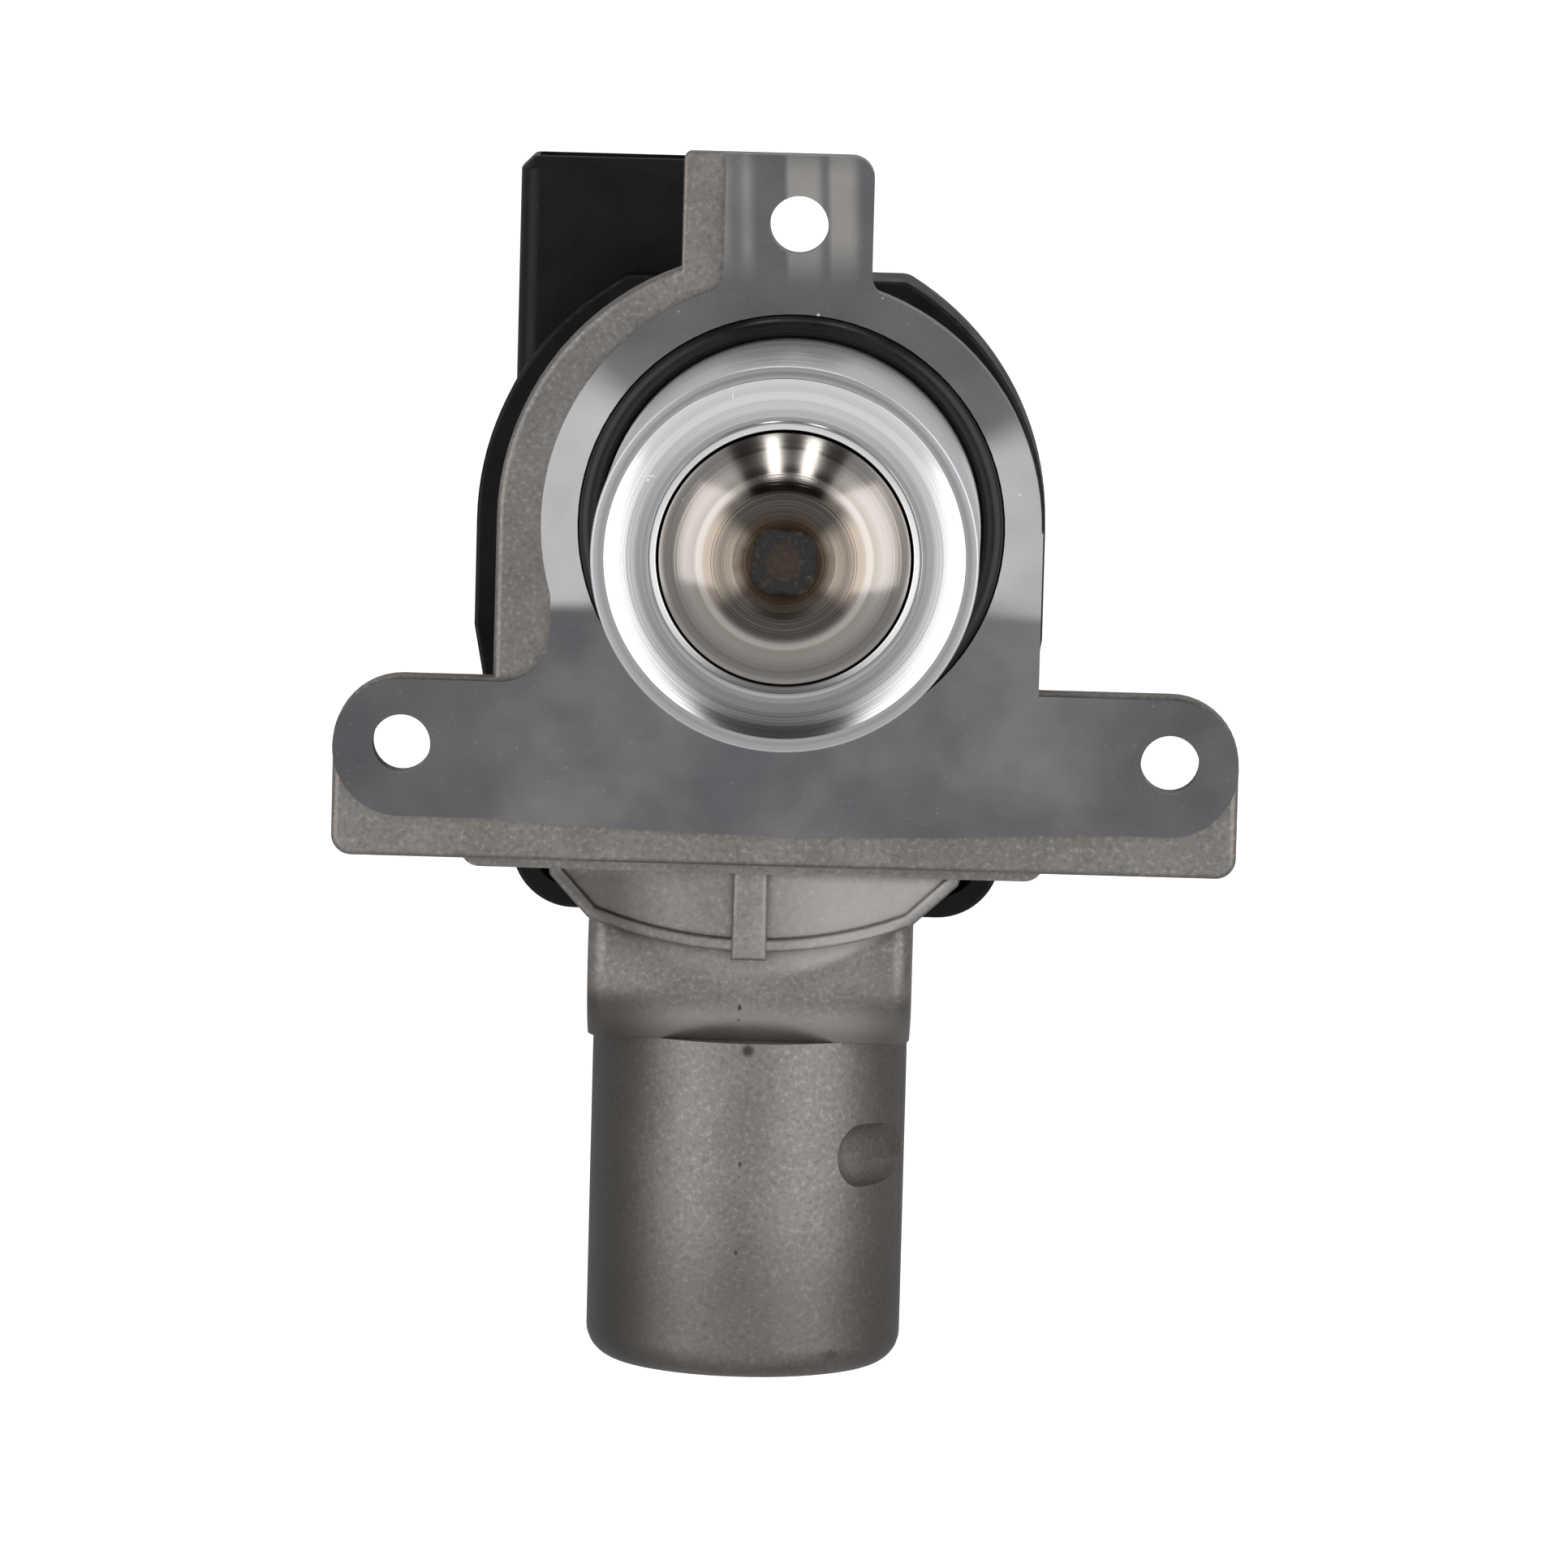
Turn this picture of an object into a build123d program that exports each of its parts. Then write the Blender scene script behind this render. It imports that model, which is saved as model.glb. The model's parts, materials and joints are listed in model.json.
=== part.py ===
from build123d import *
import math
import os

# Electric exhaust gas recirculation valve: a three-hole flange with a round gas nozzle in front,
# a gear chamber behind it and a motor can below, all millimetres.
# Frame: +Z along the valve stem out of the nozzle, +Y away from the motor can,
# origin on the nozzle's axis at the flange's machined face.

# ---- clearances and general walls ----
RUNNING_GAP = 0.04          # radial, shaft in its bush
PRESS_GAP = 0.02            # radial, parts pressed together
PART_GAP = 0.3              # between faces that move past each other
WALL = 3.0                  # cast wall of the gear chamber
CAN_WALL = 4.0              # cast wall of the motor can
COVER_WALL = 2.6            # moulded wall of the rear cover

# ---- flange ----
FLANGE_T = 4.8
PAD_STEP = 1.2              # height of the machined pad over the cast face
PAD_R = 30.8
PAD_SIDE_X = 31.0           # straight right flank of the pad
PAD_WAIST_X = 29.4          # left flank where the pad runs down into the ear
PAD_WAIST_FILLET = 6.0
PAD_WAIST_TOP_Y = -9.0      # the left flank starts here, below the ring
EAR_HOLE_X = 47.4
EAR_HOLE_Y = -28.05
EAR_R = 8.5
EAR_DROP = 0.5              # ear centre below its hole
EAR_BULGE = 1.2             # bow of the pad's lower edge
BOLT_HOLE_R = 3.6
LUG_HOLE_Y = 37.2
LUG_HALF_WIDTH = 9.1
LUG_ABOVE_HOLE = 8.6
LUG_CORNER_R = 2.8
LUG_ROOT_FILLET = 2.5
CAST_LUG_WIDTH = 5.2        # cast strip beside the top lug
CAST_EDGE = 0.35            # cast face above the ears
CAST_ROUND = 0.9            # rounding of free cast edges
CAST_BAND = 5.2             # cast band below the pad's lower edge
CAST_CORNER_R = 2.5

# ---- gear chamber ----
FACE_X = -2.65              # round cast face of the flange
FACE_R = 33.65
CHAMBER_X = -2.65           # chamber wall behind the flange
CHAMBER_Y = -3.1
CHAMBER_R = 30.6
CHAMBER_SIDE_Y = -20.0      # straight flanks end here and taper towards the motor
BOWL_X = -3.6
BOWL_HALF_WIDTH = 25.3
BOWL_SHOULDER_Y = -44.6
BOWL_END_Y = -49.8
BOWL_BOTTOM_Y = -53.6
BOWL_Z = -7.0               # front of the chamber below the flange
PARTING_Z = -46.5           # joint face between housing and rear cover
ROOF_Z = -11.5              # inside of the chamber's front wall
SHELF_X = -3.9
SHELF_HALF_WIDTH = 36.2
SHELF_Y = -43.6
SHELF_DEPTH = 9.2
RIB_WIDTH = 4.5
RIB_PROUD = 1.4             # rib over the chamber's front
RIB_END_Y = -54.6
RIB_ROUND = 0.8
RIM_WIDTH = 1.7
RIM_HEIGHT = 0.9
RIM_ROUND = 0.6

# ---- motor can ----
MOTOR_X = -4.0
MOTOR_Z = -29.0
CAN_R = 19.75
CAN_END_Y = -108.0
CAN_TOP_Y = -65.5
CAN_END_FILLET = 4.0
CAN_END_WALL = 3.2
NECK_HALF_WIDTH = 20.1
NECK_CREST = 1.3            # neck stands this much proud of the can
NECK_BULGE = 4.6
NECK_CHAMFER = 8.0
NECK_ROUND = 2.6
NECK_OVERLAP = 4.0          # neck runs this far into the chamber
SCOOP_R = 4.3
SCOOP_Y = -80.0
SCOOP_ANGLE = 47.0          # scoop's place round the can, from the front
SCOOP_DEPTH = 2.6

# ---- nozzle, seat and valve ----
NOZZLE_R = 23.3
NOZZLE_LENGTH = 40.0
NOZZLE_WALL = 4.3
NOZZLE_FOOT = 9.0           # length pressed into the housing
NOZZLE_STEP = 0.3           # foot and O-ring seat are this much thinner than the barrel
NOZZLE_EDGE = 0.35
WINDOW_HALF_WIDTH = 12.0
WINDOW_Z_LOW = 11.0
WINDOW_Z_HIGH = 28.0
WINDOW_CORNER_R = 3.0
NOZZLE_SEAM_ANGLE = 52.5    # seam of the turned wall, clear of the window
LAND_WIDTH = 1.6            # flat ring of the nozzle around the seat ring
SEAT_RING_LENGTH = 9.0
SEAT_DISH_DEPTH = 1.5
SEAT_LIP_WIDTH = 1.0
SEAT_LIP_DROP = 0.5
HEAD_R = 15.1
HEAD_RIM_T = 1.4
HEAD_RISE = 4.4             # raised middle of the head
HEAD_TOP_R = 8.7
HEAD_CURVE = 0.55           # hollow of the head's flank
SEAT_CONE_WIDTH = 2.2
HEAD_HUB_R = 5.5
HEAD_HUB_LENGTH = 3.0
STEM_R = 3.0
WELD_R = 4.1
WELD_HEIGHT = 0.35
VALVE_LIFT = 6.0
LIFT_ANGLE = 90.0           # turn of the drive gear for the full lift

# ---- O-ring ----
O_RING_CORD_R = 1.5
O_RING_PROUD = 0.8          # cord standing above the flange face

# ---- stem guide and seal ----
GUIDE_BUSH_WALL = 2.4
GUIDE_BOSS_WALL = 2.4
GUIDE_BOSS_TOP_Z = 2.0
GUIDE_BOSS_END_Z = -19.5
GUIDE_BUSH_PROUD = 2.0
STEM_SEAL_LENGTH = 3.0
SEAL_WASHER_T = 0.8

# ---- return spring and its seat ----
SPRING_R = 10.0
SPRING_WIRE_R = 0.8
SPRING_TURNS = 5.0
SPRING_SEAT_R = 11.8
SPRING_SEAT_T = 1.6

# ---- cross pin, rollers and guide sleeve ----
ROLLER_R = 2.5
ROLLER_WIDTH = 2.2
ROLLER_CENTRE_R = 8.0       # rollers sit this far from the stem's axis
CROSS_PIN_R = 1.5
SEAT_TO_ROLLER = 1.6        # spring seat above the rollers
SLEEVE_R_IN = 12.8
SLEEVE_WALL = 2.6
SLEEVE_LEG_HALF_WIDTH = 5.0
SLEEVE_END_Z = -33.0
SLEEVE_LEG_END_Z = -37.5
REGISTER_HEIGHT = 2.0

# ---- gears ----
GEAR_MODULE = 1.0
PRESSURE_ANGLE = 25.0
ADDENDUM = 0.9
DEDENDUM = 1.2
BACKLASH = 0.14
PINION_TEETH = 12
CROWN_TEETH = 32
DRIVE_TEETH = 46
CROWN_FACE = 3.0            # radial width of the crown teeth
CROWN_RELIEF = 0.34         # extra thinning of the crown teeth
CROWN_DISC_T = 2.3
DRIVE_GEAR_T = 5.0
DRIVE_BODY_R = 17.5         # radius where the drive gear has no teeth
DRIVE_GEAR_BELOW = 1.0      # drive gear's top face under the crown disc
PINION_PAST_GEAR = 0.2
SECTOR_SPARE = 16.0         # toothed arc beyond the working arc, degrees
MOTOR_PINION_LENGTH = 4.6

# ---- cam ring ----
CAM_R_IN = 6.3
CAM_R_OUT = 9.8
CAM_BASE_T = 1.6
CAM_START_HEIGHT = 3.0      # ramp height under a roller when the valve is shut
CAM_SPARE = 16.0            # ramp below the working arc, degrees
CAM_SPARE_HIGH = 10.0       # ramp above the working arc, degrees
CAM_TO_ROLLER = 0.2
CAM_STEPS = 30              # flat steps that make up one ramp
CAM_RAMP_INSET = 0.1        # ramp inside the ring's edges

# ---- drive axle, bridge and screws ----
DRIVE_AXLE_R = 3.0
DRIVE_BUSH_WALL = 1.5
THRUST_WASHER_T = 0.5
THRUST_WASHER_R = 7.5
BRIDGE_T = 1.8
BRIDGE_HUB_R = 9.0
BRIDGE_ARM_HALF_WIDTH = 4.2
IDLER_AXLE_R = 2.0
AXLE_CLIP_T = 0.8
AXLE_CLIP_R = 4.0
POST_R = 3.4
SCREW_R = 1.5
SCREW_HEAD_R = 2.5
SCREW_HEAD_T = 2.0
SCREW_LENGTH = 8.0
POST_INTO_WALL = 0.5        # posts reach this far into the wall
TOP_POST_ANGLE = 92.0
SIDE_POST_Y = -20.0

# ---- sensor ----
MAGNET_R_IN = 12.0
MAGNET_R_OUT = 16.0
MAGNET_T = 1.4
MAGNET_ARC = 80.0
BOARD_T = 1.4
BOARD_LENGTH = 24.0
BOARD_WIDTH = 10.0
BOARD_Y = -1.0
BOARD_STANDOFF = 0.9
STANDOFF_R = 1.6
CHIP_SIZE = 5.0
CHIP_T = 1.1

# ---- motor ----
MOTOR_BORE_GAP = 0.1
CASE_T = 1.2
CASE_TOP_Y = -61.0
WAVE_WASHER_T = 1.0
MAGNET_WALL = 3.0
STATOR_MAGNET_LENGTH = 30.0
AIR_GAP = 0.4
CORE_LENGTH = 24.0
CORE_SLOTS = 5
SLOT_WIDTH = 3.4
SLOT_R_IN = 5.0
WINDING_END = 3.2
SHAFT_R = 1.6
COMMUTATOR_R = 4.0
COMMUTATOR_LENGTH = 5.0
BRUSH_LENGTH = 4.0
BRUSH_SIZE = 3.4
HOLDER_T = 5.0
BEARING_R = 4.0
BEARING_LENGTH = 3.4
CIRCLIP_T = 1.2
CIRCLIP_DEPTH = 0.8
CIRCLIP_WIDTH = 1.9
CONTACT_OFFSET = 11.0
CONTACT_WIDTH = 3.0
CONTACT_T = 0.8

# ---- rear cover and connector ----
COVER_X = -4.5
COVER_STEP = 5.25           # cover's radius past the chamber's
COVER_Y = -3.5
COVER_SIDE_Y = -17.0
COVER_TOP_STEP = 0.25       # flat across the top of the round, above the chamber's top
COVER_TOP_CORNER_R = 2.5
COVER_END_X = -3.95
COVER_END_STEP = 4.35       # cover's lower half width past the bowl's
COVER_END_Y = -52.7
COVER_CORNER_R = 8.0
COVER_BACK_Z = -55.0
COVER_SKIRT = 8.5           # skirt forward of the joint face
COVER_BACK_FILLET = 1.5
COVER_RIM_ROUND = 0.5
PLUG_ROUND = 0.8
GASKET_WIDTH = 1.4
GASKET_T = 1.2
COVER_BOSS_R = 3.2
COVER_SCREW_R = 1.5
COVER_SCREW_HEAD_R = 2.8
COVER_SCREW_ANGLES = (30, 118)
COVER_BOSS_INTO_WALL = 1.0
COVER_SCREW_Y = -38.5       # lower pair
COVER_SCREW_HEAD_T = 2.4
COVER_SCREW_LENGTH = 22.0
PLUG_X_LOW = -36.0
PLUG_X_HIGH = -13.0
PLUG_LOW_Y = 8.0            # shroud runs down to here along the cover
PLUG_TOP_Y = 42.0
PLUG_Z_HIGH = -43.3
PLUG_WALL = 2.2
PLUG_DEPTH = 10.5
PLUG_CORNER_R = 2.4
PLUG_CHAMFER = 1.6          # outer top corner
PIN_COUNT = 5
PIN_PITCH = 2.0
PIN_SIZE = 0.7
PIN_LENGTH = 6.0

# ---- places worked out from the sizes above ----
UP = (Align.CENTER, Align.CENTER, Align.MIN)
COVER_R = CHAMBER_R + COVER_STEP
COVER_TOP_Y = CHAMBER_Y + CHAMBER_R + COVER_TOP_STEP
COVER_END_HALF_WIDTH = BOWL_HALF_WIDTH + COVER_END_STEP
EAR_Y = EAR_HOLE_Y - EAR_DROP
EAR_TOP_Y = EAR_Y + EAR_R
EAR_BOTTOM_Y = EAR_Y - EAR_R
LUG_TOP_Y = LUG_HOLE_Y + LUG_ABOVE_HOLE
CAST_LUG_X = -LUG_HALF_WIDTH - CAST_LUG_WIDTH
PINION_R = GEAR_MODULE * PINION_TEETH / 2
CROWN_R = GEAR_MODULE * CROWN_TEETH / 2
DRIVE_R = GEAR_MODULE * DRIVE_TEETH / 2
CENTRE_DISTANCE = PINION_R + DRIVE_R
IDLER_X = MOTOR_X
IDLER_Y = -math.sqrt(CENTRE_DISTANCE**2 - MOTOR_X**2)
MESH_ANGLE = math.degrees(math.atan2(IDLER_Y, IDLER_X))
CROWN_PITCH_Z = MOTOR_Z - PINION_R
CROWN_ROOT_Z = CROWN_PITCH_Z - DEDENDUM * GEAR_MODULE
CROWN_BACK_Z = CROWN_ROOT_Z - CROWN_DISC_T
DRIVE_TOP_Z = CROWN_BACK_Z - DRIVE_GEAR_BELOW
DRIVE_BACK_Z = DRIVE_TOP_Z - DRIVE_GEAR_T
BRIDGE_TOP_Z = DRIVE_BACK_Z - THRUST_WASHER_T
BRIDGE_BACK_Z = BRIDGE_TOP_Z - BRIDGE_T
RAMP_LEAD = VALVE_LIFT * 360.0 / LIFT_ANGLE
RAMP_SLOPE_IN = RAMP_LEAD / (2 * math.pi * (ROLLER_CENTRE_R - ROLLER_WIDTH / 2))
ROLLER_Z = (DRIVE_TOP_Z + CAM_START_HEIGHT + CAM_TO_ROLLER
            + ROLLER_R * math.sqrt(1 + RAMP_SLOPE_IN**2))
SPRING_SEAT_Z = ROLLER_Z + ROLLER_R + SEAT_TO_ROLLER
SPRING_LOW_Z = SPRING_SEAT_Z + SPRING_SEAT_T
NOZZLE_FOOT_R = NOZZLE_R - NOZZLE_STEP
GROOVE_Z = O_RING_PROUD - 2 * O_RING_CORD_R
NOZZLE_STEP_Z = O_RING_PROUD + PART_GAP
SEAT_RING_R = NOZZLE_R - LAND_WIDTH
SEAT_INNER_R = HEAD_R + PART_GAP
LIP_R = SEAT_INNER_R + SEAT_LIP_WIDTH
LIP_Z = NOZZLE_LENGTH - SEAT_LIP_DROP
HEAD_TOP_Z = LIP_Z + HEAD_RISE
HEAD_CONE_Z = LIP_Z - HEAD_RIM_T
GUIDE_BORE_R = STEM_R + GUIDE_BUSH_WALL
GUIDE_BOSS_R = GUIDE_BORE_R + GUIDE_BOSS_WALL
BORE_R = CAN_R - CAN_WALL
CASE_R = BORE_R - MOTOR_BORE_GAP
CAN_FLOOR_Y = CAN_END_Y + CAN_END_WALL
CASE_END_Y = CAN_FLOOR_Y + WAVE_WASHER_T
HOLDER_END_Y = CASE_TOP_Y + HOLDER_T
MAGNET_OUTER_R = CASE_R - CASE_T - PRESS_GAP
MAGNET_INNER_R = MAGNET_OUTER_R - MAGNET_WALL
CORE_R = MAGNET_INNER_R - AIR_GAP
STATOR_MID_Y = CASE_END_Y + CASE_T + BEARING_LENGTH + WINDING_END + CORE_LENGTH / 2
COVER_FLOOR_Z = COVER_BACK_Z + COVER_WALL
PLUG_MID_Z = (PLUG_Z_HIGH + COVER_BACK_Z) / 2
PLUG_MID_X = (PLUG_X_LOW + PLUG_X_HIGH) / 2
POST_INSET = WALL + POST_R - POST_INTO_WALL
BOSS_INSET = WALL + COVER_BOSS_R - COVER_BOSS_INTO_WALL
MAGNET_MID_R = (MAGNET_R_IN + MAGNET_R_OUT) / 2
BOARD_TOP_Y = BOARD_Y + BOARD_WIDTH / 2
BOARD_X_LOW = CHAMBER_X - math.sqrt((CHAMBER_R - WALL)**2 - (BOARD_TOP_Y - CHAMBER_Y)**2) + PART_GAP
BOARD_X = BOARD_X_LOW + BOARD_LENGTH / 2
CHIP_ANGLE = math.degrees(math.atan2(BOARD_Y, -MAGNET_MID_R))


def round_wall(angle, inset):
    """Place inside the chamber's round wall at an angle."""
    reach = CHAMBER_R - inset
    turn = math.radians(angle)
    return (CHAMBER_X + reach * math.cos(turn), CHAMBER_Y + reach * math.sin(turn))


def flank_x(side, y):
    """Where the chamber's tapering flank is at a height, on the left (-1) or the right (1)."""
    share = (CHAMBER_SIDE_Y - y) / (CHAMBER_SIDE_Y - BOWL_SHOULDER_Y)
    top = CHAMBER_X + side * CHAMBER_R
    bottom = BOWL_X + side * BOWL_HALF_WIDTH
    return top + (bottom - top) * share


BRIDGE_POSTS = [round_wall(TOP_POST_ANGLE, POST_INSET)]
BRIDGE_POSTS += [(flank_x(side, SIDE_POST_Y) - side * POST_INSET, SIDE_POST_Y) for side in (-1, 1)]
COVER_SCREW_PLACES = [round_wall(angle, BOSS_INSET) for angle in COVER_SCREW_ANGLES]
COVER_SCREW_PLACES += [(flank_x(side, COVER_SCREW_Y) - side * BOSS_INSET, COVER_SCREW_Y) for side in (-1, 1)]


# ---- shape helpers ----
def rod(radius, z_low, z_high, x=0, y=0):
    """Round bar along Z between two heights."""
    return Pos(x, y, z_low) * Cylinder(radius, z_high - z_low, align=UP)


def tube(r_out, r_in, z_low, z_high, x=0, y=0):
    """Round tube along Z between two heights."""
    return rod(r_out, z_low, z_high, x, y) - rod(r_in, z_low, z_high, x, y)


def rod_along_y(radius, y_low, y_high, x=MOTOR_X, z=MOTOR_Z):
    """Round bar along Y, on the motor's axis unless told otherwise."""
    start = Plane(origin=(x, y_low, z), x_dir=(1, 0, 0), z_dir=(0, 1, 0))
    return start * Cylinder(radius, y_high - y_low, align=UP)


def tube_along_y(r_out, r_in, y_low, y_high, x=MOTOR_X, z=MOTOR_Z):
    """Round tube along Y."""
    return rod_along_y(r_out, y_low, y_high, x, z) - rod_along_y(r_in, y_low, y_high, x, z)


def block(low, high):
    """Box between two opposite corners."""
    size = [h - l for l, h in zip(low, high)]
    return Pos(*low) * Box(*size, align=(Align.MIN, Align.MIN, Align.MIN))


def plate(outline, z_low, z_high):
    """Flat outline made solid between two heights."""
    return extrude(Pos(0, 0, z_low) * outline, z_high - z_low, dir=(0, 0, 1))


def rectangle(x_low, y_low, x_high, y_high):
    """Flat rectangle between two corners."""
    middle = Pos((x_low + x_high) / 2, (y_low + y_high) / 2)
    return middle * Rectangle(x_high - x_low, y_high - y_low)


def corner_at(shape, x, y):
    """The outline's corner nearest to a place."""
    return min(shape.vertices(), key=lambda v: math.hypot(v.X - x, v.Y - y))


def turned(points):
    """Closed (radius, height) profile turned about the valve's axis."""
    profile = make_face(Polyline([(r, 0, z) for r, z in points], close=True))
    return revolve(profile, Axis.Z)


def one(shape):
    """The single solid of a shape."""
    return shape.solids()[0]


# ---- outlines ----
def pad_outline():
    """Machined face: ring, straight right flank, left waist, two ears and the top lug."""
    ears = Pos(0, EAR_Y) * SlotCenterToCenter(2 * EAR_HOLE_X, 2 * EAR_R)
    bow_end = EAR_HOLE_X * 0.75
    bow = make_face(
        ThreePointArc((-bow_end, EAR_BOTTOM_Y), (0, EAR_BOTTOM_Y - EAR_BULGE), (bow_end, EAR_BOTTOM_Y))
        + Line((bow_end, EAR_BOTTOM_Y), (-bow_end, EAR_BOTTOM_Y))
    )
    flank = rectangle(-PAD_WAIST_X, EAR_Y, PAD_SIDE_X, 0) - rectangle(-PAD_WAIST_X, PAD_WAIST_TOP_Y, 0, 0)
    lug = rectangle(-LUG_HALF_WIDTH, 0, LUG_HALF_WIDTH, LUG_TOP_Y)
    outline = Circle(PAD_R) + flank + ears + bow + lug
    waist = corner_at(outline, -PAD_WAIST_X, EAR_TOP_Y)
    outline = fillet(waist, PAD_WAIST_FILLET)
    root_y = math.sqrt(PAD_R**2 - LUG_HALF_WIDTH**2)
    outline = fillet(corner_at(outline, LUG_HALF_WIDTH, root_y), LUG_ROOT_FILLET)
    outline = fillet(corner_at(outline, -LUG_HALF_WIDTH, root_y), LUG_ROOT_FILLET)
    return fillet(corner_at(outline, LUG_HALF_WIDTH, LUG_TOP_Y), LUG_CORNER_R)


def cast_plate():
    """Cast face under the pad: wide left side, lug strip and lower band, with rounded free edges."""
    low, high = -FLANGE_T, -PAD_STEP
    ears = Pos(0, EAR_Y + CAST_EDGE) * SlotCenterToCenter(2 * EAR_HOLE_X, 2 * EAR_R)
    lug = rectangle(-LUG_HALF_WIDTH, 0, LUG_HALF_WIDTH, LUG_TOP_Y)
    lug = fillet(corner_at(lug, LUG_HALF_WIDTH, LUG_TOP_Y), LUG_CORNER_R)
    right = Circle(PAD_R) + rectangle(0, EAR_Y, PAD_SIDE_X, 0)
    body = plate(ears + lug + right, low, high)
    left = Pos(FACE_X, 0) * Circle(FACE_R) + rectangle(FACE_X - FACE_R, EAR_Y, 0, 0)
    left = plate(left & rectangle(FACE_X - FACE_R, EAR_Y, 0, FACE_R), low, high)
    front = left.edges().group_by(Axis.Z)[-1]
    body += fillet(front.filter_by(GeomType.CIRCLE) + front.filter_by(Axis.Y).sort_by(Axis.X)[:1], CAST_ROUND)
    ear_end = EAR_HOLE_X + EAR_R
    band_y = EAR_BOTTOM_Y - CAST_BAND
    band = block((-ear_end, band_y, low), (ear_end, EAR_Y, high))
    band = fillet(band.edges().filter_by(Axis.Z).group_by(Axis.Y)[0], CAST_CORNER_R)
    body += fillet(band.edges().group_by(Axis.Z)[-1].group_by(Axis.Y)[0], CAST_ROUND)
    strip = block((CAST_LUG_X, 0, low), (0, LUG_TOP_Y, high))
    strip = fillet(strip.edges().filter_by(Axis.Z).sort_by(Axis.X)[:2].sort_by(Axis.Y)[-1], CAST_ROUND)
    body += fillet(strip.edges().group_by(Axis.Z)[-1].filter_by(Axis.Y).sort_by(Axis.X)[0], CAST_ROUND / 2)
    return body


def chamber_outline(growth=0.0):
    """Gear chamber seen along Z: round top, straight flanks, taper and bowed end at the motor."""
    left, right = CHAMBER_X - CHAMBER_R, CHAMBER_X + CHAMBER_R
    shoulder_l, shoulder_r = BOWL_X - BOWL_HALF_WIDTH, BOWL_X + BOWL_HALF_WIDTH
    end_l, end_r = MOTOR_X - NECK_HALF_WIDTH, MOTOR_X + NECK_HALF_WIDTH
    top = CHAMBER_Y
    edges = [
        ThreePointArc((right, top), (CHAMBER_X, top + CHAMBER_R), (left, top)),
        Polyline((left, top), (left, CHAMBER_SIDE_Y), (shoulder_l, BOWL_SHOULDER_Y), (end_l, BOWL_END_Y)),
        ThreePointArc((end_l, BOWL_END_Y), (MOTOR_X, BOWL_BOTTOM_Y), (end_r, BOWL_END_Y)),
        Polyline((end_r, BOWL_END_Y), (shoulder_r, BOWL_SHOULDER_Y), (right, CHAMBER_SIDE_Y), (right, top)),
    ]
    outline = make_face(Wire([e for piece in edges for e in piece.edges()]))
    return offset(outline, growth, kind=Kind.INTERSECTION) if growth else outline


def cover_outline(growth=0.0):
    """Rear cover seen along Z."""
    left, right = COVER_X - COVER_R, COVER_X + COVER_R
    end_l, end_r = COVER_END_X - COVER_END_HALF_WIDTH, COVER_END_X + COVER_END_HALF_WIDTH
    top = COVER_Y
    edges = [
        ThreePointArc((right, top), (COVER_X, top + COVER_R), (left, top)),
        Polyline((left, top), (left, COVER_SIDE_Y), (end_l, COVER_END_Y), (end_r, COVER_END_Y),
                 (right, COVER_SIDE_Y), (right, top)),
    ]
    outline = make_face(Wire([e for piece in edges for e in piece.edges()]))
    for x in (end_l, end_r):
        outline = fillet(corner_at(outline, x, COVER_END_Y), COVER_CORNER_R)
    outline -= rectangle(left, COVER_TOP_Y, right, top + COVER_R + 1)
    half_flat = math.sqrt(COVER_R**2 - (COVER_TOP_Y - COVER_Y)**2)
    for x in (COVER_X - half_flat, COVER_X + half_flat):
        outline = fillet(corner_at(outline, x, COVER_TOP_Y), COVER_TOP_CORNER_R)
    return offset(outline, growth, kind=Kind.INTERSECTION) if growth else outline


# ---- gears ----
def tooth_half_angle(radius, teeth):
    """Half the angle that an involute tooth takes at a radius."""
    pitch_r = GEAR_MODULE * teeth / 2
    base_r = pitch_r * math.cos(math.radians(PRESSURE_ANGLE))
    at_pitch = (math.pi * GEAR_MODULE / 4 - BACKLASH / 2) / pitch_r

    def involute(r):
        angle = math.acos(min(1.0, base_r / r))
        return math.tan(angle) - angle

    return at_pitch + involute(pitch_r) - involute(radius)


def gear_outline(teeth, kept=None, phase=0.0, small_r=None):
    """Spur gear outline with a tooth centred on the phase angle; kept lists the teeth that are there."""
    pitch_r = GEAR_MODULE * teeth / 2
    root_r = pitch_r - DEDENDUM * GEAR_MODULE
    tip_r = pitch_r + ADDENDUM * GEAR_MODULE
    base_r = pitch_r * math.cos(math.radians(PRESSURE_ANGLE))
    low_r = max(root_r, base_r)
    radii = [low_r + (tip_r - low_r) * k / 3 for k in range(4)]
    step = 2 * math.pi / teeth
    points = []
    for k in range(teeth):
        middle = math.radians(phase) + k * step
        if kept is not None and k not in kept:
            points += [(small_r, middle - step / 2), (small_r, middle)]
            continue
        foot = tooth_half_angle(low_r, teeth)
        points.append((root_r, middle - step / 2))
        points.append((root_r, middle - foot))
        points += [(r, middle - tooth_half_angle(r, teeth)) for r in radii]
        points += [(r, middle + tooth_half_angle(r, teeth)) for r in reversed(radii)]
        points.append((root_r, middle + foot))
        points.append((root_r, middle + step / 2))
    places = []
    for r, a in points:
        place = (r * math.cos(a), r * math.sin(a))
        if not places or math.dist(place, places[-1]) > 1e-4:
            places.append(place)
    if math.dist(places[0], places[-1]) < 1e-4:
        places.pop()
    return make_face(Polyline(places, close=True))


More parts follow.
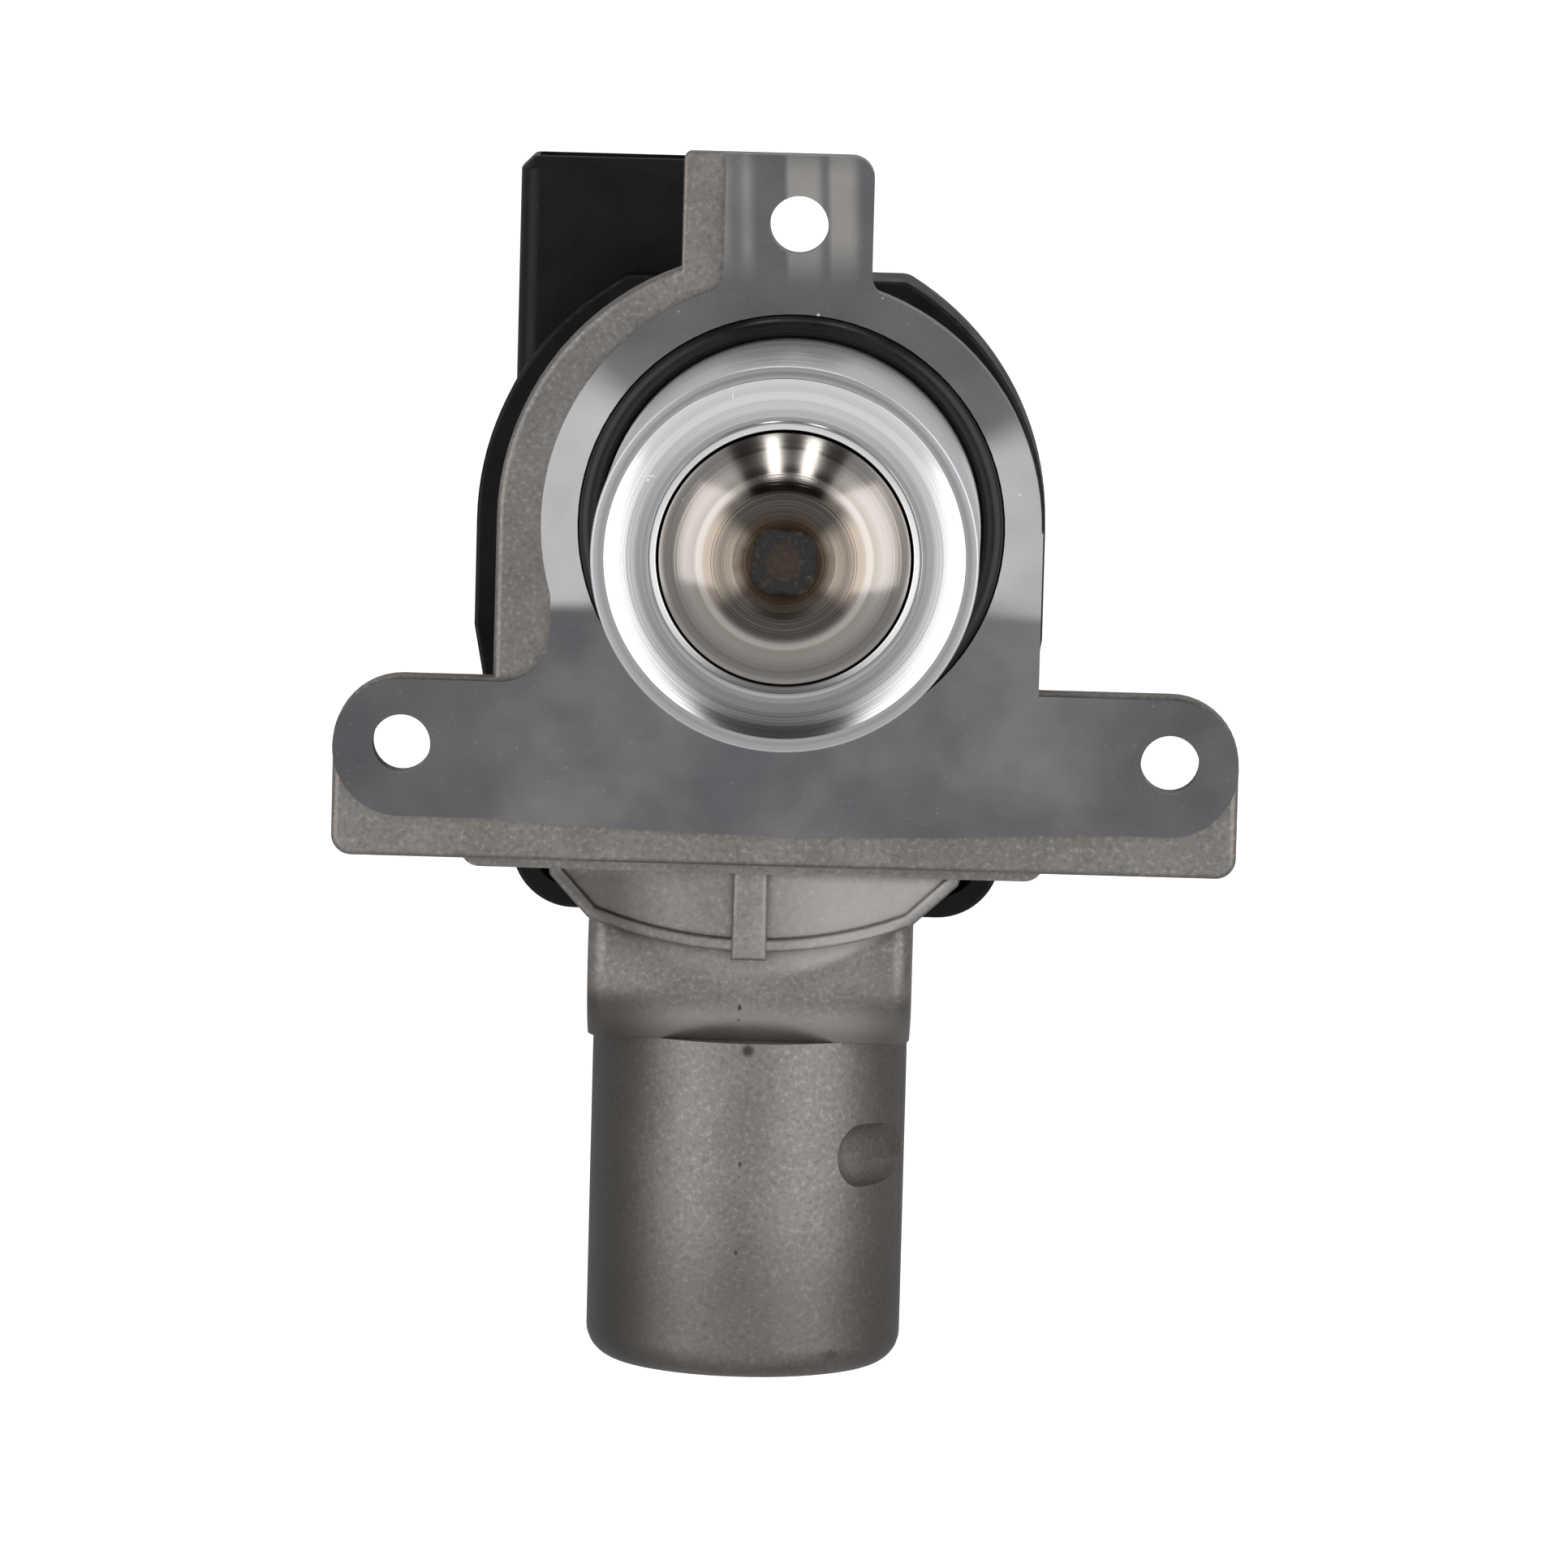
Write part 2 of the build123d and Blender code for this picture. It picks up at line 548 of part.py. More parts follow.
def drive_gear():
    """Toothed sector on a round body, with a pocket for the sensor magnet."""
    step = 360.0 / DRIVE_TEETH
    phase = MESH_ANGLE + step / 2
    first = -math.ceil((LIFT_ANGLE + SECTOR_SPARE) / step)
    last = math.ceil(SECTOR_SPARE / step)
    kept = {k % DRIVE_TEETH for k in range(first, last)}
    gear = plate(gear_outline(DRIVE_TEETH, kept, phase, DRIVE_BODY_R), DRIVE_BACK_Z, DRIVE_TOP_Z)
    bore = rod(DRIVE_AXLE_R + DRIVE_BUSH_WALL + PRESS_GAP, DRIVE_BACK_Z, DRIVE_TOP_Z)
    relief = tube(DRIVE_BODY_R - 2.0, CAM_R_OUT + 1.6, DRIVE_TOP_Z - 1.2, DRIVE_TOP_Z)
    return gear - bore - relief - magnet_arc(PRESS_GAP)


def magnet_arc(growth=0.0):
    """Arc magnet in the back of the drive gear, over the sensor chip at half lift."""
    ring = tube(MAGNET_R_OUT + growth, MAGNET_R_IN - growth, DRIVE_BACK_Z, DRIVE_BACK_Z + MAGNET_T)
    half = math.radians(MAGNET_ARC / 2) + growth / MAGNET_R_OUT
    middle = math.radians(CHIP_ANGLE - LIFT_ANGLE / 2)
    reach = 2 * MAGNET_R_OUT
    corners = [(0, 0)] + [
        (reach * math.cos(middle + s * half), reach * math.sin(middle + s * half)) for s in (-1, 0, 1)
    ]
    wedge = plate(make_face(Polyline(corners, close=True)), DRIVE_BACK_Z, DRIVE_BACK_Z + MAGNET_T)
    return ring & wedge


def intermediate_gear():
    """Crown wheel that the motor pinion turns, with the small pinion that turns the drive gear."""
    outer = CROWN_R + CROWN_FACE / 2
    inner = CROWN_R - CROWN_FACE / 2
    wheel = rod(outer, CROWN_BACK_Z, CROWN_ROOT_Z)
    tip_z = CROWN_PITCH_Z + ADDENDUM * GEAR_MODULE
    slope = math.tan(math.radians(PRESSURE_ANGLE))
    half = math.pi * GEAR_MODULE / 4 - (BACKLASH + CROWN_RELIEF) / 2
    half_tip = half - slope * ADDENDUM * GEAR_MODULE
    half_root = half + slope * DEDENDUM * GEAR_MODULE
    profile = [(-half_root, CROWN_ROOT_Z), (-half_tip, tip_z), (half_tip, tip_z), (half_root, CROWN_ROOT_Z)]
    section = make_face(Polyline([(x, -inner, z) for x, z in profile], close=True))
    tooth = extrude(section, outer - inner, dir=(0, -1, 0))
    teeth = [Rot(0, 0, (k + 0.5) * 360 / CROWN_TEETH) * tooth for k in range(CROWN_TEETH)]
    step = 360.0 / PINION_TEETH
    phase = MESH_ANGLE + 180
    pinion_back = DRIVE_BACK_Z + PINION_PAST_GEAR
    pinion = plate(gear_outline(PINION_TEETH, phase=phase % step), pinion_back, CROWN_BACK_Z)
    hub = rod(PINION_R, CROWN_ROOT_Z, CROWN_PITCH_Z)
    bore = rod(IDLER_AXLE_R + RUNNING_GAP, pinion_back, CROWN_PITCH_Z)
    gear = wheel + hub + pinion + teeth - bore
    return Pos(IDLER_X, IDLER_Y, 0) * one(gear)


def motor_pinion():
    """Pinion pressed on the motor's shaft, with a tooth pointing at the crown wheel."""
    outline = gear_outline(PINION_TEETH, phase=-90.0 % (360.0 / PINION_TEETH))
    length = MOTOR_PINION_LENGTH
    gear = extrude(outline, length, dir=(0, 0, 1)) - rod(SHAFT_R + PRESS_GAP, 0, length)
    start = Plane(origin=(MOTOR_X, IDLER_Y - CROWN_R + length / 2, MOTOR_Z), x_dir=(1, 0, 0), z_dir=(0, -1, 0))
    return start * gear


# ---- housing ----
def can_body():
    """Motor can with its rounded end."""
    can = rod_along_y(CAN_R, CAN_END_Y, CAN_TOP_Y)
    end = can.edges().filter_by(GeomType.CIRCLE).sort_by(Axis.Y)[0]
    return fillet(end, CAN_END_FILLET)


def neck_body():
    """Bowed neck between gear chamber and motor can."""
    crest = MOTOR_Z + CAN_R + NECK_CREST
    low = PARTING_Z
    y_far, y_near = CAN_TOP_Y, BOWL_END_Y + NECK_OVERLAP
    profile = make_face(
        ThreePointArc((0, y_far, crest - NECK_BULGE), (0, (y_far + y_near) / 2, crest),
                      (0, y_near, crest - NECK_BULGE))
        + Polyline((0, y_near, crest - NECK_BULGE), (0, y_near, low), (0, y_far, low),
                   (0, y_far, crest - NECK_BULGE))
    )
    neck = extrude(Pos(MOTOR_X - NECK_HALF_WIDTH, 0, 0) * profile, 2 * NECK_HALF_WIDTH, dir=(1, 0, 0))
    corners = neck.edges().filter_by(Axis.Y).group_by(Axis.Z)[0]
    neck = chamfer(corners, NECK_CHAMFER)
    sides = neck.edges().filter_by(GeomType.CIRCLE)
    return fillet(sides, NECK_ROUND)


def scoop():
    """Shallow groove in the can's right flank, with a round start."""
    turn = math.radians(SCOOP_ANGLE)
    reach = CAN_R + SCOOP_R - SCOOP_DEPTH
    middle = (MOTOR_X + reach * math.sin(turn), SCOOP_Y, MOTOR_Z + reach * math.cos(turn))
    start = Plane(origin=middle, x_dir=(0, 1, 0), z_dir=(math.cos(turn), 0, -math.sin(turn)))
    return start * Cylinder(SCOOP_R, CAN_R, align=UP) + start * Sphere(SCOOP_R)


def housing():
    """One casting: flange, gear chamber, neck and motor can."""
    body = plate(pad_outline(), -PAD_STEP, 0) + cast_plate()
    body += plate(chamber_outline(), PARTING_Z, BOWL_Z)
    behind_flange = rectangle(-2 * CHAMBER_R, SHELF_Y, 2 * CHAMBER_R, 2 * CHAMBER_R)
    body += plate(chamber_outline() & behind_flange, BOWL_Z, -FLANGE_T)
    shelf = rectangle(SHELF_X - SHELF_HALF_WIDTH, SHELF_Y, SHELF_X + SHELF_HALF_WIDTH, EAR_Y)
    for side in (-1, 1):
        shelf = fillet(corner_at(shelf, SHELF_X + side * SHELF_HALF_WIDTH, SHELF_Y), CAST_CORNER_R)
    body += plate(shelf, -FLANGE_T - SHELF_DEPTH, -FLANGE_T)
    rim = plate(chamber_outline() - chamber_outline(-RIM_WIDTH), BOWL_Z, BOWL_Z + RIM_HEIGHT)
    rim = fillet(rim.edges().group_by(Axis.Z)[-1], RIM_ROUND)
    rim_reach = 2 * CHAMBER_R
    body += rim & block((-rim_reach, -rim_reach, BOWL_Z), (rim_reach, SHELF_Y, BOWL_Z + RIM_HEIGHT))
    body += neck_body()
    body += can_body()
    rib_x = RIB_WIDTH / 2
    rib = block((MOTOR_X - rib_x, RIB_END_Y, MOTOR_Z + CAN_R / 2), (MOTOR_X + rib_x, SHELF_Y, BOWL_Z + RIB_PROUD))
    body += fillet(rib.edges().group_by(Axis.Z)[-1].sort_by(Axis.Y)[:3], RIB_ROUND)
    body -= plate(chamber_outline(-WALL), PARTING_Z, ROOF_Z)
    body += rod(GUIDE_BOSS_R, GUIDE_BOSS_END_Z, ROOF_Z)
    body += tube(SLEEVE_R_IN - PRESS_GAP, SPRING_SEAT_R, ROOF_Z - REGISTER_HEIGHT, ROOF_Z)
    inside = chamber_outline(-WALL / 2)
    for x, y in BRIDGE_POSTS:
        body += plate(Pos(x, y) * Circle(POST_R) & inside, BRIDGE_TOP_Z, ROOF_Z)
    for x, y in COVER_SCREW_PLACES:
        body += plate(Pos(x, y) * Circle(COVER_BOSS_R) & inside, PARTING_Z, ROOF_Z)
    body -= rod(NOZZLE_FOOT_R + PRESS_GAP, -NOZZLE_FOOT, 0)
    body += rod(GUIDE_BOSS_R, -NOZZLE_FOOT, GUIDE_BOSS_TOP_Z)
    body -= rod(GUIDE_BORE_R + PRESS_GAP, GUIDE_BOSS_END_Z, GUIDE_BOSS_TOP_Z)
    body -= tube(NOZZLE_R + 2 * O_RING_CORD_R, GUIDE_BOSS_R, GROOVE_Z, 0)
    for x, y in ((-EAR_HOLE_X, EAR_HOLE_Y), (EAR_HOLE_X, EAR_HOLE_Y), (0, LUG_HOLE_Y)):
        body -= rod(BOLT_HOLE_R, -FLANGE_T, 0, x, y)
    body -= rod_along_y(BORE_R, CAN_FLOOR_Y, BOWL_END_Y + WALL)
    groove_y = HOLDER_END_Y
    body -= rod_along_y(BORE_R + CIRCLIP_DEPTH, groove_y, groove_y + CIRCLIP_T)
    for x, y in BRIDGE_POSTS:
        body -= rod(SCREW_R, BRIDGE_TOP_Z, BRIDGE_TOP_Z + SCREW_LENGTH, x, y)
    for x, y in COVER_SCREW_PLACES:
        depth = COVER_BACK_Z + COVER_SCREW_HEAD_T + COVER_SCREW_LENGTH
        body -= rod(COVER_SCREW_R, PARTING_Z, depth, x, y)
    return one(body - scoop())


# ---- gas side ----
def nozzle():
    """Turned tube with its foot in the housing, a gas window and a counterbore for the seat ring."""
    inner = NOZZLE_R - NOZZLE_WALL
    shoulder = NOZZLE_LENGTH - SEAT_RING_LENGTH
    body = turned([
        (inner, -NOZZLE_FOOT), (NOZZLE_FOOT_R, -NOZZLE_FOOT), (NOZZLE_FOOT_R, NOZZLE_STEP_Z),
        (NOZZLE_R, NOZZLE_STEP_Z),
        (NOZZLE_R, NOZZLE_LENGTH - NOZZLE_EDGE),
        (NOZZLE_R - NOZZLE_EDGE, NOZZLE_LENGTH), (SEAT_RING_R + PRESS_GAP, NOZZLE_LENGTH),
        (SEAT_RING_R + PRESS_GAP, shoulder), (inner, shoulder),
    ])
    window = block((-WINDOW_HALF_WIDTH, -NOZZLE_R - 1, WINDOW_Z_LOW), (WINDOW_HALF_WIDTH, 0, WINDOW_Z_HIGH))
    window = fillet(window.edges().filter_by(Axis.Y), WINDOW_CORNER_R)
    return one(Rot(0, 0, NOZZLE_SEAM_ANGLE) * body - window)


def seat_ring():
    """Ring with a dished face, a thin lip and the conical seat."""
    low = NOZZLE_LENGTH - SEAT_RING_LENGTH
    cone_top = HEAD_CONE_Z - PART_GAP / 2
    throat = SEAT_INNER_R - SEAT_CONE_WIDTH
    dish_mid = ((SEAT_RING_R + LIP_R) / 2, 0, (NOZZLE_LENGTH + LIP_Z) / 2 - SEAT_DISH_DEPTH)
    outer_top = (SEAT_RING_R, 0, NOZZLE_LENGTH - 0.1)
    dish = ThreePointArc(outer_top, dish_mid, (LIP_R, 0, LIP_Z))
    rest = Polyline(
        (LIP_R, 0, LIP_Z), (SEAT_INNER_R, 0, LIP_Z - 0.15), (SEAT_INNER_R, 0, cone_top),
        (throat, 0, cone_top - SEAT_CONE_WIDTH), (throat, 0, low), (SEAT_RING_R, 0, low), outer_top,
    )
    return revolve(make_face(dish + rest), Axis.Z)


def poppet_head():
    """Valve head: thin rim, hollow flank rising to a flat middle, conical seat and a hub below."""
    edge = 0.2
    rim_top = (HEAD_R - edge, 0, LIP_Z)
    flat_edge = (HEAD_TOP_R, 0, HEAD_TOP_Z - edge)
    mid = ((rim_top[0] + flat_edge[0]) / 2 - HEAD_CURVE, 0, (rim_top[2] + flat_edge[2]) / 2 - HEAD_CURVE)
    flank = ThreePointArc(rim_top, mid, flat_edge)
    bore = STEM_R + PRESS_GAP
    cone_low = HEAD_CONE_Z - SEAT_CONE_WIDTH
    rest = Polyline(
        flat_edge, (HEAD_TOP_R - edge, 0, HEAD_TOP_Z), (bore, 0, HEAD_TOP_Z),
        (bore, 0, cone_low - HEAD_HUB_LENGTH), (HEAD_HUB_R, 0, cone_low - HEAD_HUB_LENGTH),
        (HEAD_HUB_R + 1.5, 0, cone_low), (HEAD_R - SEAT_CONE_WIDTH, 0, cone_low),
        (HEAD_R, 0, HEAD_CONE_Z), (HEAD_R, 0, LIP_Z - edge), rim_top,
    )
    return revolve(make_face(flank + rest), Axis.Z)


def stem_weld():
    """Raised bead where stem and head are welded."""
    middle = (STEM_R + WELD_R) / 2 - 0.4
    half = (WELD_R - STEM_R) / 2 + 0.4
    arc = ThreePointArc((middle - half, 0, HEAD_TOP_Z), (middle, 0, HEAD_TOP_Z + WELD_HEIGHT),
                        (middle + half, 0, HEAD_TOP_Z))
    return revolve(make_face(arc + Line((middle + half, 0, HEAD_TOP_Z), (middle - half, 0, HEAD_TOP_Z))), Axis.Z)


def valve_stem():
    """Ground stem from the head down to the cross pin."""
    low = ROLLER_Z - 2 * CROSS_PIN_R
    stem = rod(STEM_R, low, HEAD_TOP_Z)
    stem = chamfer(stem.edges().filter_by(GeomType.CIRCLE).sort_by(Axis.Z)[0], 0.5)
    return stem - cross_bar(CROSS_PIN_R + PRESS_GAP, 2 * STEM_R)


def cross_bar(radius, length):
    """Round bar along X through the stem at the rollers."""
    start = Plane(origin=(-length / 2, 0, ROLLER_Z), x_dir=(0, 1, 0), z_dir=(1, 0, 0))
    return start * Cylinder(radius, length, align=UP)


def o_ring():
    """Flange seal around the nozzle's foot."""
    return Pos(0, 0, O_RING_PROUD - O_RING_CORD_R) * Torus(NOZZLE_R + O_RING_CORD_R, O_RING_CORD_R - PRESS_GAP)


def return_spring():
    """Coil spring between the chamber's roof and the spring seat."""
    length = ROOF_Z - SPRING_LOW_Z - 2 * SPRING_WIRE_R
    path = Pos(0, 0, SPRING_LOW_Z + SPRING_WIRE_R) * Helix(length / SPRING_TURNS, length, SPRING_R)
    start = Plane(origin=path @ 0, z_dir=path % 0)
    return sweep(start * Circle(SPRING_WIRE_R), path=path, is_frenet=True)


# ---- stem drive ----
def guide_sleeve():
    """Sleeve round the spring whose two slotted legs keep the cross pin from turning."""
    outer = SLEEVE_R_IN + SLEEVE_WALL
    sleeve = tube(outer, SLEEVE_R_IN, SLEEVE_LEG_END_Z, ROOF_Z)
    legs = block((-outer, -SLEEVE_LEG_HALF_WIDTH, SLEEVE_LEG_END_Z), (outer, SLEEVE_LEG_HALF_WIDTH, SLEEVE_END_Z))
    sleeve -= rod(outer, SLEEVE_LEG_END_Z, SLEEVE_END_Z) - legs
    slot_half = CROSS_PIN_R + PART_GAP / 2
    slot_top = ROLLER_Z + VALVE_LIFT + CROSS_PIN_R + PART_GAP
    sleeve -= block((-outer, -slot_half, SLEEVE_LEG_END_Z), (outer, slot_half, slot_top))
    return one(sleeve)


def roller(side):
    """Roller on the cross pin."""
    near = ROLLER_CENTRE_R - ROLLER_WIDTH / 2
    start = Plane(origin=(side * near, 0, ROLLER_Z), x_dir=(0, 1, 0), z_dir=(side, 0, 0))
    body = Cylinder(ROLLER_R, ROLLER_WIDTH, align=UP)
    body = chamfer(body.edges().filter_by(GeomType.CIRCLE), 0.2)
    return start * (body - Cylinder(CROSS_PIN_R + RUNNING_GAP, ROLLER_WIDTH, align=UP))


def cam_ring():
    """Ring with two helical ramps that lift the rollers as it turns."""
    ring = tube(CAM_R_OUT, CAM_R_IN, DRIVE_TOP_Z, DRIVE_TOP_Z + CAM_BASE_T)
    return one(ring + [ramp(turn) for turn in (0, 180)])


def ramp(turn):
    """One ramp, made of flat steps, as a closed shell."""
    arc = CAM_SPARE + LIFT_ANGLE + CAM_SPARE_HIGH
    low_z = DRIVE_TOP_Z + CAM_START_HEIGHT - RAMP_LEAD * CAM_SPARE / 360
    foot_z = DRIVE_TOP_Z + CAM_BASE_T / 2
    radii = (CAM_R_IN + CAM_RAMP_INSET, CAM_R_OUT - CAM_RAMP_INSET)
    sections = []
    for k in range(CAM_STEPS + 1):
        share = k / CAM_STEPS
        angle = math.radians(turn + CAM_SPARE - arc * share)
        top_z = low_z + RAMP_LEAD * arc / 360 * share
        sections.append([(r * math.cos(angle), r * math.sin(angle), z) for z in (foot_z, top_z) for r in radii])
    corners = []
    for (a0, b0, c0, d0), (a1, b1, c1, d1) in zip(sections, sections[1:]):
        corners += [(c0, d0, d1), (c0, d1, c1), (a0, b0, b1), (a0, b1, a1), (a0, c0, c1, a1), (b0, d0, d1, b1)]
    for a, b, c, d in (sections[0], sections[-1]):
        corners.append((a, b, d, c))
    faces = [Face(Wire.make_polygon(places, close=True)) for places in corners]
    return Solid(Shell(faces))


def bearing_bridge():
    """Flat bridge behind the gears, on three posts, that carries both axles."""
    outline = Circle(BRIDGE_HUB_R) + Pos(IDLER_X, IDLER_Y) * Circle(BRIDGE_HUB_R - 2.5)
    ends = [(x, y) for x, y in BRIDGE_POSTS] + [(IDLER_X, IDLER_Y)]
    for x, y in ends:
        length = math.hypot(x, y)
        arm = Rot(0, 0, math.degrees(math.atan2(y, x))) * Pos(length / 2, 0)
        outline += arm * Rectangle(length, 2 * BRIDGE_ARM_HALF_WIDTH)
    for x, y in BRIDGE_POSTS:
        outline += Pos(x, y) * Circle(BRIDGE_ARM_HALF_WIDTH)
        outline -= Pos(x, y) * Circle(SCREW_R + 0.2)
    outline -= Circle(DRIVE_AXLE_R + PRESS_GAP)
    outline -= Pos(IDLER_X, IDLER_Y) * Circle(IDLER_AXLE_R + PRESS_GAP)
    return plate(outline & chamber_outline(-WALL - PART_GAP), BRIDGE_BACK_Z, BRIDGE_TOP_Z)


def drive_axle():
    """Stub axle of the drive gear, with a head that keeps the gear on."""
    head_z = DRIVE_TOP_Z + PART_GAP
    return rod(DRIVE_AXLE_R, BRIDGE_BACK_Z, head_z) + rod(DRIVE_AXLE_R + 1.8, head_z, head_z + 1.0)


def idler_axle():
    """Pin of the intermediate gear with a groove for its clip."""
    end = CROWN_PITCH_Z + AXLE_CLIP_T + PART_GAP + 1.0
    clip_z = CROWN_PITCH_Z + PART_GAP
    pin = rod(IDLER_AXLE_R, BRIDGE_BACK_Z, end, IDLER_X, IDLER_Y)
    return pin - tube(IDLER_AXLE_R, IDLER_AXLE_R - 0.5, clip_z, clip_z + AXLE_CLIP_T, IDLER_X, IDLER_Y)


def axle_clip():
    """Spring clip in the axle's groove."""
    low = CROWN_PITCH_Z + PART_GAP + PRESS_GAP
    high = CROWN_PITCH_Z + PART_GAP + AXLE_CLIP_T - PRESS_GAP
    clip = tube(AXLE_CLIP_R, IDLER_AXLE_R - 0.5 + PRESS_GAP, low, high, IDLER_X, IDLER_Y)
    mouth = IDLER_AXLE_R * 0.7
    return one(clip - block((IDLER_X, IDLER_Y - mouth, low), (IDLER_X + AXLE_CLIP_R, IDLER_Y + mouth, high)))


def screw(x, y, z_face, length, shank_r, head_r, head_t, socket_r):
    """Screw driven along +Z from behind, its head's seat at z_face."""
    body = rod(shank_r - PRESS_GAP, z_face, z_face + length, x, y)
    head = rod(head_r, z_face - head_t, z_face, x, y)
    head = fillet(head.edges().filter_by(GeomType.CIRCLE).sort_by(Axis.Z)[0], head_t / 3)
    socket = Pos(x, y, z_face - head_t) * extrude(RegularPolygon(socket_r, 6), head_t * 0.6, dir=(0, 0, 1))
    return body + head - socket


# ---- motor ----
def motor_case():
    """Deep-drawn steel cup with a bearing seat in its end."""
    case = tube_along_y(CASE_R, CASE_R - CASE_T, CASE_END_Y, CASE_TOP_Y)
    case += rod_along_y(CASE_R, CASE_END_Y, CASE_END_Y + CASE_T)
    case += rod_along_y(BEARING_R + CASE_T, CASE_END_Y, CASE_END_Y + CASE_T + BEARING_LENGTH)
    return case - rod_along_y(BEARING_R + PRESS_GAP, CASE_END_Y + CASE_T, CASE_END_Y + CASE_T + BEARING_LENGTH)


def stator_magnets():
    """Two arc magnets glued in the case."""
    half = STATOR_MAGNET_LENGTH / 2
    ring = tube_along_y(MAGNET_OUTER_R, MAGNET_INNER_R, STATOR_MID_Y - half, STATOR_MID_Y + half)
    gap = CASE_R / 4
    cut = block((MOTOR_X - gap, STATOR_MID_Y - half, MOTOR_Z - CASE_R), (MOTOR_X + gap, STATOR_MID_Y + half, MOTOR_Z + CASE_R))
    return ring - cut


def slot_cut(radius_in, width, y_low, y_high):
    """The armature's slots as bars that reach past the core."""
    bars = []
    for k in range(CORE_SLOTS):
        bar = block((-width / 2, y_low, radius_in), (width / 2, y_high, CORE_R + 1))
        bars.append(Pos(MOTOR_X, 0, MOTOR_Z) * Rot(0, 360 / CORE_SLOTS * k, 0) * bar)
    return bars


def armature_core():
    """Laminated core with open slots."""
    half = CORE_LENGTH / 2
    core = tube_along_y(CORE_R, SHAFT_R + PRESS_GAP, STATOR_MID_Y - half, STATOR_MID_Y + half)
    return core - slot_cut(SLOT_R_IN, SLOT_WIDTH, STATOR_MID_Y - half, STATOR_MID_Y + half)


def armature_windings():
    """Copper in the slots, joined by the end turns."""
    half = CORE_LENGTH / 2
    fill = CORE_R - 1.2
    bars = slot_cut(SLOT_R_IN + PRESS_GAP, SLOT_WIDTH - 2 * PRESS_GAP, STATOR_MID_Y - half, STATOR_MID_Y + half)
    limit = tube_along_y(fill, SLOT_R_IN, STATOR_MID_Y - half, STATOR_MID_Y + half)
    winding = None
    for bar in bars:
        winding = bar & limit if winding is None else winding + (bar & limit)
    for y_low in (STATOR_MID_Y - half - WINDING_END + PART_GAP, STATOR_MID_Y + half):
        winding += tube_along_y(fill, SHAFT_R + 1.2, y_low, y_low + WINDING_END - PART_GAP)
    return one(winding)


def motor_shaft():
    """Shaft from the rear bearing to the pinion."""
    end = IDLER_Y - CROWN_R + MOTOR_PINION_LENGTH / 2
    return rod_along_y(SHAFT_R, CASE_END_Y + CASE_T + PART_GAP, end)


def commutator():
    """Commutator drum just under the brush holder."""
    high = CASE_TOP_Y - PART_GAP
    return tube_along_y(COMMUTATOR_R, SHAFT_R + PRESS_GAP, high - COMMUTATOR_LENGTH, high)


def brush_pocket(growth):
    """The two brushes, or with growth their pockets."""
    mid_y = CASE_TOP_Y - PART_GAP - COMMUTATOR_LENGTH / 2
    half = BRUSH_SIZE / 2 + growth
    near = COMMUTATOR_R + 0.1
    pair = []
    for side in (-1, 1):
        x_ends = sorted((MOTOR_X + side * (near - growth), MOTOR_X + side * (near + BRUSH_LENGTH + growth)))
        pair.append(block((x_ends[0], mid_y - half, MOTOR_Z - half), (x_ends[1], mid_y + half, MOTOR_Z + half)))
    return pair


def brush_holder():
    """Moulded end cap with two brush boxes and the front bearing seat."""
    cap = rod_along_y(CASE_R, CASE_TOP_Y, HOLDER_END_Y)
    low = CASE_TOP_Y - PART_GAP - COMMUTATOR_LENGTH
    for side in (-1, 1):
        x_ends = sorted((MOTOR_X + side * (COMMUTATOR_R + 0.6), MOTOR_X + side * (COMMUTATOR_R + BRUSH_LENGTH + 2)))
        half = BRUSH_SIZE / 2 + 1.2
        cap += block((x_ends[0], low, MOTOR_Z - half), (x_ends[1], CASE_TOP_Y, MOTOR_Z + half))
    cap -= rod_along_y(SHAFT_R + PART_GAP, CASE_TOP_Y, HOLDER_END_Y)
    cap -= rod_along_y(BEARING_R + PRESS_GAP, HOLDER_END_Y - BEARING_LENGTH, HOLDER_END_Y)
    for side in (-1, 1):
        cap -= contact_slot(side)
    for pocket in brush_pocket(0.05):
        cap -= pocket
    return cap


def contact_slot(side):
    """Slot in the end cap that takes a contact blade."""
    x = MOTOR_X + side * CONTACT_OFFSET
    half = CONTACT_WIDTH / 2 + 0.05
    z = contact_z()
    return block((x - half, HOLDER_END_Y - 3.0, z - 0.05), (x + half, HOLDER_END_Y, z + CONTACT_T + 0.05))


def contact_z():
    """Height of the contact blades where they enter the end cap."""
    return MOTOR_Z - math.sqrt(BORE_R**2 - (CONTACT_OFFSET + CONTACT_WIDTH / 2)**2) + 2.5


def motor_contacts():
    """Two bent blades from the rear cover to the brush holder."""
    low_y = HOLDER_END_Y - 3.0 + 0.1
    bend_y = BOWL_END_Y + WALL + 1.5
    blades = []
    for side in (-1, 1):
        x = MOTOR_X + side * CONTACT_OFFSET
        half = CONTACT_WIDTH / 2
        flat = block((x - half, low_y, contact_z()), (x + half, bend_y, contact_z() + CONTACT_T))
        post = block((x - half, bend_y - CONTACT_T, COVER_FLOOR_Z), (x + half, bend_y, contact_z() + CONTACT_T))
        blades.append(flat + post)
    return blades


def circlip():
    """Retaining ring that holds the motor in its bore."""
    y_low = HOLDER_END_Y + PRESS_GAP
    y_high = HOLDER_END_Y + CIRCLIP_T - PRESS_GAP
    outer = BORE_R + CIRCLIP_DEPTH - 0.1
    ring = tube_along_y(outer, outer - CIRCLIP_WIDTH, y_low, y_high)
    gap = CIRCLIP_WIDTH * 2
    cut = block((MOTOR_X - gap, y_low, MOTOR_Z - outer), (MOTOR_X + gap, y_high, MOTOR_Z))
    return one(ring - cut)


def wave_washer():
    """Spring washer under the motor case."""
    return tube_along_y(CASE_R - 2.0, CASE_R - 5.0, CAN_FLOOR_Y, CASE_END_Y)


